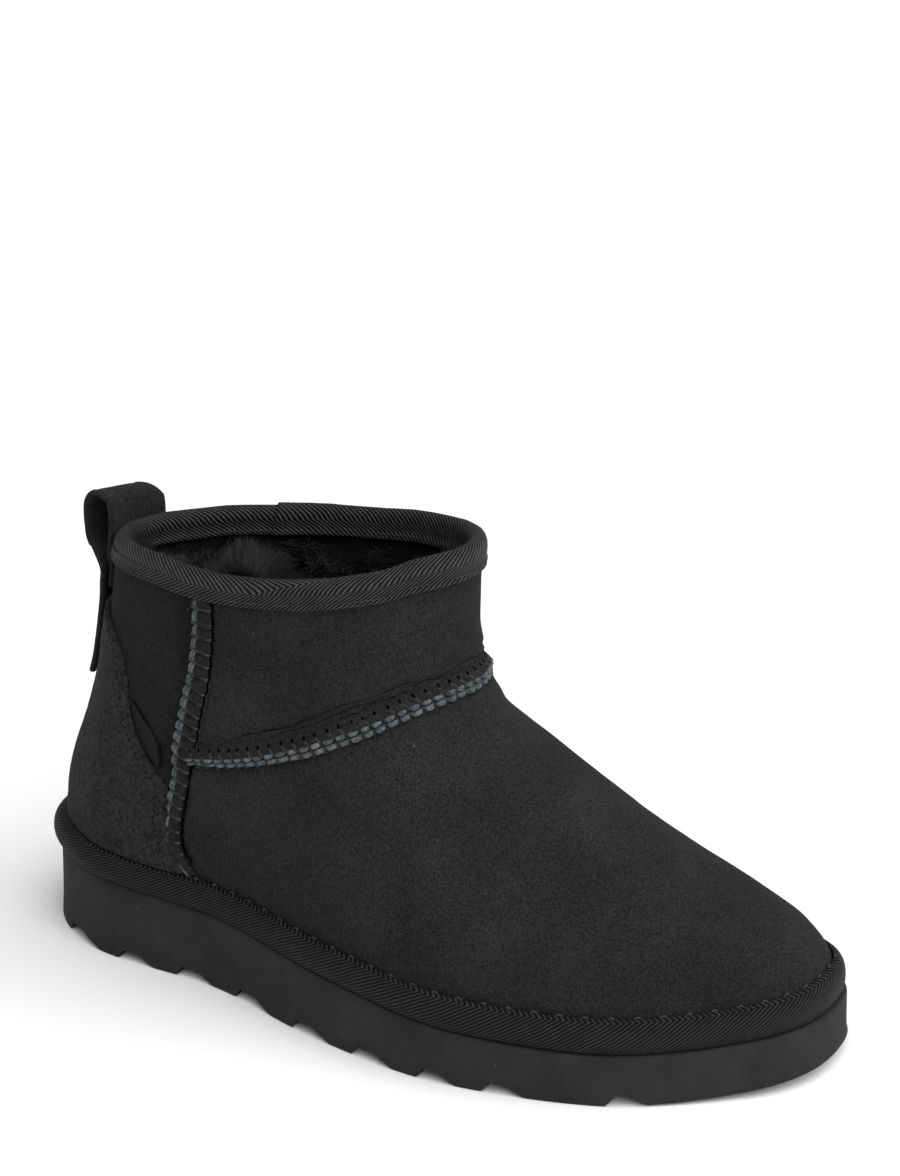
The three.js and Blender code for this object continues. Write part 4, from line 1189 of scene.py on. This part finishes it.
def build_seam(tag, seam, pitch, band, shape, edges, hole, slant, t0, t1, size, spread, slit, yarn):
    """Band of lobes, the two cut edges beside it, thread over the notches, and dark tubes of painted
    shade at the holes it comes out of.

    shape is the band's lobe. hole is from and to, across; slit is the same for the dark tubes of painted
    shade, which sit at the holes on the collar seam and along the notches on the side seams. slant is how
    far a thread runs on along the seam from its hole to its notch. yarn is the thread's material.
    size(t) is 1 for the full seam and less where it gets narrow; spread(t) is how wide the edges open.
    """
    band, depth = np.array(band), shape[0]
    places = np.arange(t0, t1, pitch)
    places[1:-1] += rng.uniform(-0.09, 0.09, len(places) - 2) * pitch
    places[-1] = t1
    lobes = len(places) - 1
    t = np.append((places[:-1, None] + np.diff(places)[:, None] * LOBE_STEPS).ravel(), t1)
    phase = np.append(np.tile(LOBE_STEPS, lobes), 0.0)
    full = size(t)[:, None]

    def bulk(low, high):
        """Each lobe a little bigger or smaller than the next."""
        return np.append(np.repeat(rng.uniform(low, high, lobes), len(LOBE_STEPS)), 1)[:, None]
    wobble = (noise(seam.at(t, 0, 0), 5.0) * 0.12)[:, None]
    swell = lobe(phase, *shape)[:, None] * bulk(0.92, 1.06)
    h = np.where(band[:, 1] > 0, band[:, 1] * swell + wobble, band[:, 1]) * full
    sweep_piece(f"{tag}_band", seam, t, band[None, :, 0] * full, h, SUEDE)
    box = lambda v: (np.sign(v) * np.abs(v) ** 0.62)[None]
    c, r = box(np.cos(even_ring(12))), box(np.sin(even_ring(12)))
    for k, (cs, ch, rs, rh) in enumerate(edges):
        fat = lobe(phase, NOTCH, 3.0, 1.20)[:, None] * bulk(0.88, 1.08)
        slim = lobe(phase, 0.55, 3.0, 1.20)[:, None]
        along = t + 0.3 * k
        ragged = 0.16 * noise(seam.at(along, 9.0 * (k + 1), 0), 2.2)[:, None]
        s = lerp(band[CREST - 1, 0], cs - rs + rs * (1 + c) * slim, spread(t)[:, None]) * full + wobble
        h = (ch + r * rh + ragged) * fat * full - 0.25
        sweep_piece(f"{tag}_cut_edge_{k}", seam, along, s, h, CUT_EDGE)
    path_s, path_h = thread_path(band, edges, hole, depth)
    run_on = np.interp(path_s, [hole[1], band[CREST - 1, 0]], [-slant, 0])
    slit_s = np.linspace(*slit, 5)
    slit_h = np.interp(slit_s, band[:CREST, 0], band[:CREST, 1]) * (1 - depth) + 0.08
    slit_t = np.linspace(-0.3, 0.1, 5) if slant else np.zeros(5)
    threads, hole_shade_tubes, up = [], [], []
    for notch in places[1:-1]:
        narrow = size(notch)
        up.append(seam.up(notch))
        hole_shade_tubes.append(seam.at(notch - slant + slit_t, slit_s * narrow, slit_h * narrow))
        for shift in STRANDS:
            t = notch + shift + run_on + np.linspace(*rng.uniform(-0.12, 0.12, 2), len(path_s))
            threads.append(seam.at(t, path_s * narrow, path_h * narrow))
    threads, up = np.array(threads), np.array(up)[:, None]
    tubes_piece(f"{tag}_thread", threads, np.repeat(up, len(STRANDS), 0),
                np.full(threads.shape[:2], STRAND_RADIUS), 5, yarn)
    # painted shade: dark tubes at the holes, and on the side seams along each notch between two lobes
    radius = np.array([0.12, 0.42, 0.50, 0.42, 0.12]) * (1 if slant else 1.25)
    tubes_piece(f"{tag}_holes", hole_shade_tubes, up, np.tile(radius, (len(hole_shade_tubes), 1)), 8, PAINTED_SHADE_AND_DARK_THREAD, 0.45)


def build_wrinkle_painted_shade():
    """Painted shade: fine dark lines in the bottoms of the wrinkles beside the collar seam."""
    paths, out = [], []
    for row in WRINKLES:
        a, l = wrinkle_line(row, 24)
        p, n = skin(a, l), skin_normal(a, l)
        lift = crease_depth(p) + unevenness(p) + seam_pull(p, seam_collar, COLLAR_ZONE, PITCH_COLLAR)
        paths.append(p + n * (lift + 0.06)[:, None])
        out.append(n)
    radius = 0.04 + 0.16 * np.sin(np.linspace(0, 1, 24) * np.pi) ** 0.8
    tubes_piece("collar_wrinkle_painted_shade", paths, np.array(out), np.tile(radius, (len(paths), 1)), 6, CREASE_PAINTED_SHADE,
                0.35)


def fine_thread(name, seam, s, h, t0, t1, radius, material):
    t = np.arange(t0, t1, 0.5)
    path = seam.at(t, s + 0.15 * np.sin(t * 1.4), h + 0.12 * np.sin(t * 2 * np.pi / PITCH_SIDE))
    tubes_piece(name, path[None], seam.up(t)[None], np.full((1, len(t)), radius), 6, material)


def side_size(seam):
    """Full width down to the junction, narrower below it, tapering out at the roll."""
    return lambda t: np.interp(t / seam.length, [0, 0.02, 0.54, 0.62, 0.90, 0.985, 1.0],
                               [0.55, 1.0, 1.0, 0.78, 0.70, 0.45, 0.35])


def side_spread(seam):
    """The cut edges hardly show at the top and open wide towards the junction."""
    return lambda t: np.interp(t / seam.length, [0, 0.2, 0.5, 1.0], [0.70, 0.80, 1.12, 1.05])


def collar_spread(t):
    """Narrow at both ends, beside the side seams."""
    from_end = np.minimum(t, seam_collar.length - t)
    return np.interp(from_end, [0, 25, 55], [0.66, 0.85, 1.0])


# ---- stitches in rows ----
def stitch_row(name, points, normals, material, pitch, length, radius, lift):
    """Arched stitches along a line of points, each sinking in at its ends."""
    d = run_length(points)
    starts = np.arange(pitch / 2, d[-1] - length, pitch)
    u = np.linspace(0, 1, 5)
    at = starts[:, None] + u[None] * length
    p, n = pick_at(at, d, points), unit(pick_at(at, d, normals))
    arch = np.sin(u * np.pi) * lift - 0.35 * lift
    r = np.tile(radius * np.array([0.5, 0.95, 1.0, 0.95, 0.5]), (len(starts), 1))
    tubes_piece(name, p + n * arch[None, :, None], n, r, 6, material)


def closed_line(points):
    return np.vstack([points, points[:1]])


def build_stitches():
    line = closed_line(roll_point(even_turns(900), 0.10, 0.985))
    stitch_row("roll_stitches", line + [0, 0, 0.25], np.tile(UPWARD, (len(line), 1)), THREAD,
               pitch=7.6, length=2.0, radius=0.32, lift=0.4)
    a = even_turns(700, 0.93)
    from_edge, off_tape = 1.75, GAP + TAPE + 0.2
    for name, leg, way in (("binding_stitches_out", BIND_OUT, 1), ("binding_stitches_in", BIND_IN, -1)):
        level = 1 - (leg - from_edge) / SHAFT
        n = skin_normal(a, level)
        depth = off_tape if way > 0 else -wall_at(level) - off_tape
        stitch_row(name, closed_line(skin(a, level) + n * depth), closed_line(way * n), THREAD,
                   pitch=1.7, length=0.8, radius=0.22, lift=0.2)
    rows = np.linspace(0.02, 0.755, 500)
    for name, side in (("counter_stitches_out", 1), ("counter_stitches_in", -1)):
        a = side * (counter_reach(rows) - 1.5 / COUNTER_RADIUS)
        level = counter_map(rows, a)
        stitch_row(name, off(a, level, SEAT + COUNTER - 0.12), skin_normal(a, level), PAINTED_SHADE_AND_DARK_THREAD,
                   pitch=2.3, length=0.9, radius=0.20, lift=0.12)


# ---- wool strands ----
WOOL_TOP, MASS_TOP = 0.93, 0.94   # no root stands above these levels
SHAFT_RADIUS = 42.0
SKEW = [0.11, 0.23, 0.07]         # keeps a strand's frame off its own direction


def tuft_length(a):
    """The pile is longest inside the outer side, where it stands over the rim, and at the front."""
    turn = np.degrees(a) % 360
    return 1 + 0.25 * np.exp(-((turn - 93) / 20) ** 2) + 0.25 * np.exp(-((turn - 168) / 22) ** 2)


def build_wool(name, material, seed, tufts, each, low, high, length, spread, turn_range):
    """Tufts of wool on the inside: each tuft's strands lean together to one tip."""
    r = np.random.default_rng(seed)
    ta = lerp(*turn_range, r.uniform(0, 1, tufts)) * DEG
    tl = low + (high - low) * r.uniform(0, 1, tufts) ** 0.75
    wall = lambda a, l: off(a, l, -wall_at(l) + 1.0)
    tall = tuft_length(ta) * length * (0.8 + 0.4 * r.uniform(0, 1, tufts))
    lean = r.normal(0, 1, (tufts, 3)) * [0.42, 0.42, 0.30]
    rise = UPWARD * (0.30 + 1.05 * np.clip(tuft_length(ta) - 1, 0, 1))[:, None]
    point = unit(-skin_normal(ta, tl) + lean + rise)
    tip = wall(ta, tl) + point * tall[:, None]
    which = np.repeat(np.arange(tufts), each)
    count, point, tall = len(which), point[which], tall[which][:, None]
    away = spread * np.sqrt(r.uniform(0, 1, count))
    where = r.uniform(0, 2 * np.pi, count)
    a = ta[which] + away * np.cos(where) / SHAFT_RADIUS
    l = np.clip(tl[which] + away * np.sin(where) / SHAFT, low - 0.04, WOOL_TOP)
    root = wall(a, l)
    own = root + point * tall * (0.70 + 0.35 * r.uniform(0, 1, count))[:, None]
    end = lerp(own, tip[which], 0.62) + r.normal(0, 1, (count, 3)) * 0.9
    middle = lerp(root, end, 0.5) - skin_normal(a, l) * tall * 0.12 + r.normal(0, 1, (count, 3)) * 0.45
    radius = np.tile([0.18, 0.14, 0.03], (count, 1)) * r.uniform(0.7, 1.3, (count, 1))
    tubes_piece(name, np.stack([root, middle, end], 1), point[:, None] + SKEW, radius, 3, material)


def on_inner_wall(turn, level, p):
    """Points from a place on the inner wall: mm along the wall, into the boot and up."""
    a0, da = turn * DEG, 0.02
    stride = np.linalg.norm(skin(a0 + da, level) - skin(a0 - da, level)) / (2 * da)
    a = a0 + p[..., 0] / stride
    want = level + p[..., 2] / SHAFT
    l = np.clip(want, 0, MASS_TOP)
    q = off(a, l, -wall_at(l)) - unit(skin_normal(a, l) * [1, 1, 0.3]) * p[..., 1:2]
    q[..., 2] += (want - l) * SHAFT
    return q


def build_wool_mass(name, turn, level, size, count, length, rise, seed):
    """A soft mass of pile on the wall: a dark core with fine curly strands all over it."""
    r = np.random.default_rng(seed)
    size, core_scale, step = np.array(size, float), 0.80, 0.02

    def on_mass(v):
        v_in = np.stack([v[..., 0], np.maximum(v[..., 1], 0.03), v[..., 2]], -1) * size * core_scale
        p = on_inner_wall(turn, level, v_in)
        return p, unit(on_inner_wall(turn, level, v_in + unit(v / size) * step) - p)
    rows, columns = 16, 28
    th = np.linspace(0.12, np.pi - 0.12, rows)[:, None]
    ph = even_ring(columns)[None]
    core, _ = on_mass(np.stack([np.cos(th) + 0 * ph, np.sin(th) * np.cos(ph), np.sin(th) * np.sin(ph)],
                               -1))
    mesh_piece(f"{name}_core", core, ring_quads(rows, columns, False), WOOL,
               polys=end_caps(rows, columns))
    v = unit(r.normal(0, 1, (count * 4, 3)))
    v = v[(v[:, 1] > 0.05) & (v[:, 2] > -0.5)][:count]
    count = len(v)
    root, out = on_mass(v)
    swirl = noise_vector(root, 9.0, (0, 37, 71))
    tuft = noise_vector(root, 3.0, (0, 53, 91))
    first = unit(out + 0.30 * swirl + 0.35 * tuft + 0.14 * r.normal(0, 1, (count, 3)) + UPWARD * rise)
    second = unit(first + 0.55 * swirl + 0.30 * r.normal(0, 1, (count, 3)))
    half = (length * r.uniform(0.55, 1.2, count) * (0.85 + 0.5 * tuft[:, 0]))[:, None] / 2
    middle = root + first * half
    radius = np.tile([0.13, 0.10, 0.02], (count, 1)) * r.uniform(0.7, 1.3, (count, 1))
    tubes_piece(name, np.stack([root, middle, middle + second * half], 1), out[:, None] + SKEW, radius, 3,
                WOOL_STRAND)


# ---- building it all ----
WOOL_MASSES = [
    # place, turn, level, size along, in and up, strands, their length, how much they rise
    ["near", 93, 0.925, (12, 13, 13), 8000, 8.5, 0.6],
    ["near_back", 62, 0.895, (11, 9, 9), 3000, 7.0, 0.35],
    ["near_front", 121, 0.885, (12, 6, 6), 1500, 5.5, 0.2],
    ["back", 22, 0.885, (11, 7, 8), 2000, 6.0, 0.3],
    ["front", 168, 0.885, (13, 9, 8), 2000, 6.5, 0.3],
    ["far_front", 208, 0.87, (12, 8, 8), 1500, 6.0, 0.1],
]
build_suede()
build_lining()
build_counter()
build_roll()
build_binding()
build_outsole()
build_loop()
build_tag()
build_sock()
build_seam("collar_seam", seam_collar, PITCH_COLLAR, COLLAR_BAND, (0.16, 8, 1.0), COLLAR_EDGES,
           hole=COLLAR_HOLE, slant=1.1, t0=0.4, t1=seam_collar.length - 0.4, size=lambda t: 1 + 0 * t,
           spread=collar_spread, slit=COLLAR_HOLE, yarn=THREAD)
build_wrinkle_painted_shade()
for tag, seam in (("outer_seam", seam_outer), ("inner_seam", seam_inner)):
    build_seam(tag, seam, PITCH_SIDE, SIDE_BAND, (0.80, 2.5, 1.26), SIDE_EDGES, hole=SIDE_HOLE, slant=0.0,
               t0=0.0, t1=seam.length - 0.2, size=side_size(seam), spread=side_spread(seam),
               slit=SIDE_SLIT, yarn=THREAD_PAINTED_HIGHLIGHT)
    fine_thread(f"{tag}_edge_shadow", seam, -3.85, 0.12, 0.5, seam.length * 0.97, 0.34, PAINTED_SHADE_AND_DARK_THREAD)
    fine_thread(f"{tag}_edge_line", seam, -4.35, -0.1, seam.length * 0.26, seam.length * 0.56, 0.13,
                THREAD)
build_stitches()
for name, turn, level, size, count, length, rise in WOOL_MASSES:
    build_wool_mass(f"wool_{name}", turn, level, size, count, length, rise, seed=count)
build_wool("wool_collar_outer", WOOL_STRAND, seed=5, tufts=90, each=40, low=0.80, high=0.90, length=7.0,
           spread=4.6, turn_range=(-10, 185))
build_wool("wool_collar_inner", WOOL_STRAND_PAINTED_SHADE, seed=6, tufts=150, each=30, low=0.70, high=0.885, length=7.5,
           spread=4.8, turn_range=(180, 355))
build_wool("wool_shaft", WOOL_STRAND_PAINTED_SHADE, seed=7, tufts=180, each=14, low=0.35, high=0.80, length=8.0,
           spread=7.0, turn_range=(0, 360))

# ---- floor, light and camera ----
FLOOR_HALF = 20
floor_mesh = bpy.data.meshes.new("floor")
corners = ((-1, -1), (1, -1), (1, 1), (-1, 1))
floor_mesh.from_pydata([(x * FLOOR_HALF, y * FLOOR_HALF, 0) for x, y in corners], [], [(0, 1, 2, 3)])
floor = bpy.data.objects.new("floor", floor_mesh)
bpy.context.scene.collection.objects.link(floor)
paper = Look("paper", 0.9, 0.1)
clean = paper.between(paper.noise(3.0), 0, 1, 0.99, 1.0)
floor_mesh.materials.append(paper.done(paper.colour((250, 250, 250), clean)))

WORLD_STRENGTH = 0.22
world = bpy.data.worlds.new("studio")
world.use_nodes = True
world.node_tree.nodes["Background"].inputs[0].default_value = (1, 1, 1, 1)
world.node_tree.nodes["Background"].inputs[1].default_value = WORLD_STRENGTH
bpy.context.scene.world = world


def soft_light(name, toward, strength, spread):
    """Broad light from a far softbox; toward is where it stands as seen from the boot."""
    data = bpy.data.lights.new(name, "SUN")
    data.energy, data.angle = strength, spread
    lamp = bpy.data.objects.new(name, data)
    lamp.rotation_mode = "QUATERNION"
    lamp.rotation_quaternion = Vector(toward).to_track_quat("Z", "Y")
    bpy.context.scene.collection.objects.link(lamp)


soft_light("softbox", (0.55, -0.20, 0.84), 3.7, 85 * DEG)

AZIMUTH, ELEVATION, DISTANCE = 27.8 * DEG, 19.0 * DEG, 0.750
SENSOR, LENS = 36.0, 75.398       # the camera's upright sensor and its focal length
target = Vector(place([142.6, 0.0, 132.2]))
back = Vector((math.sin(AZIMUTH) * math.cos(ELEVATION), -math.cos(AZIMUTH) * math.cos(ELEVATION),
               math.sin(ELEVATION)))
camera_data = bpy.data.cameras.new("camera")
camera_data.sensor_fit = "VERTICAL"
camera_data.sensor_height = SENSOR
camera_data.lens = LENS
camera = bpy.data.objects.new("camera", camera_data)
camera.location = target + back * DISTANCE
camera.rotation_mode = "QUATERNION"
camera.rotation_quaternion = (-back).to_track_quat("-Z", "Y")
bpy.context.scene.collection.objects.link(camera)
bpy.context.scene.camera = camera
bpy.context.scene.view_settings.view_transform = "Standard"
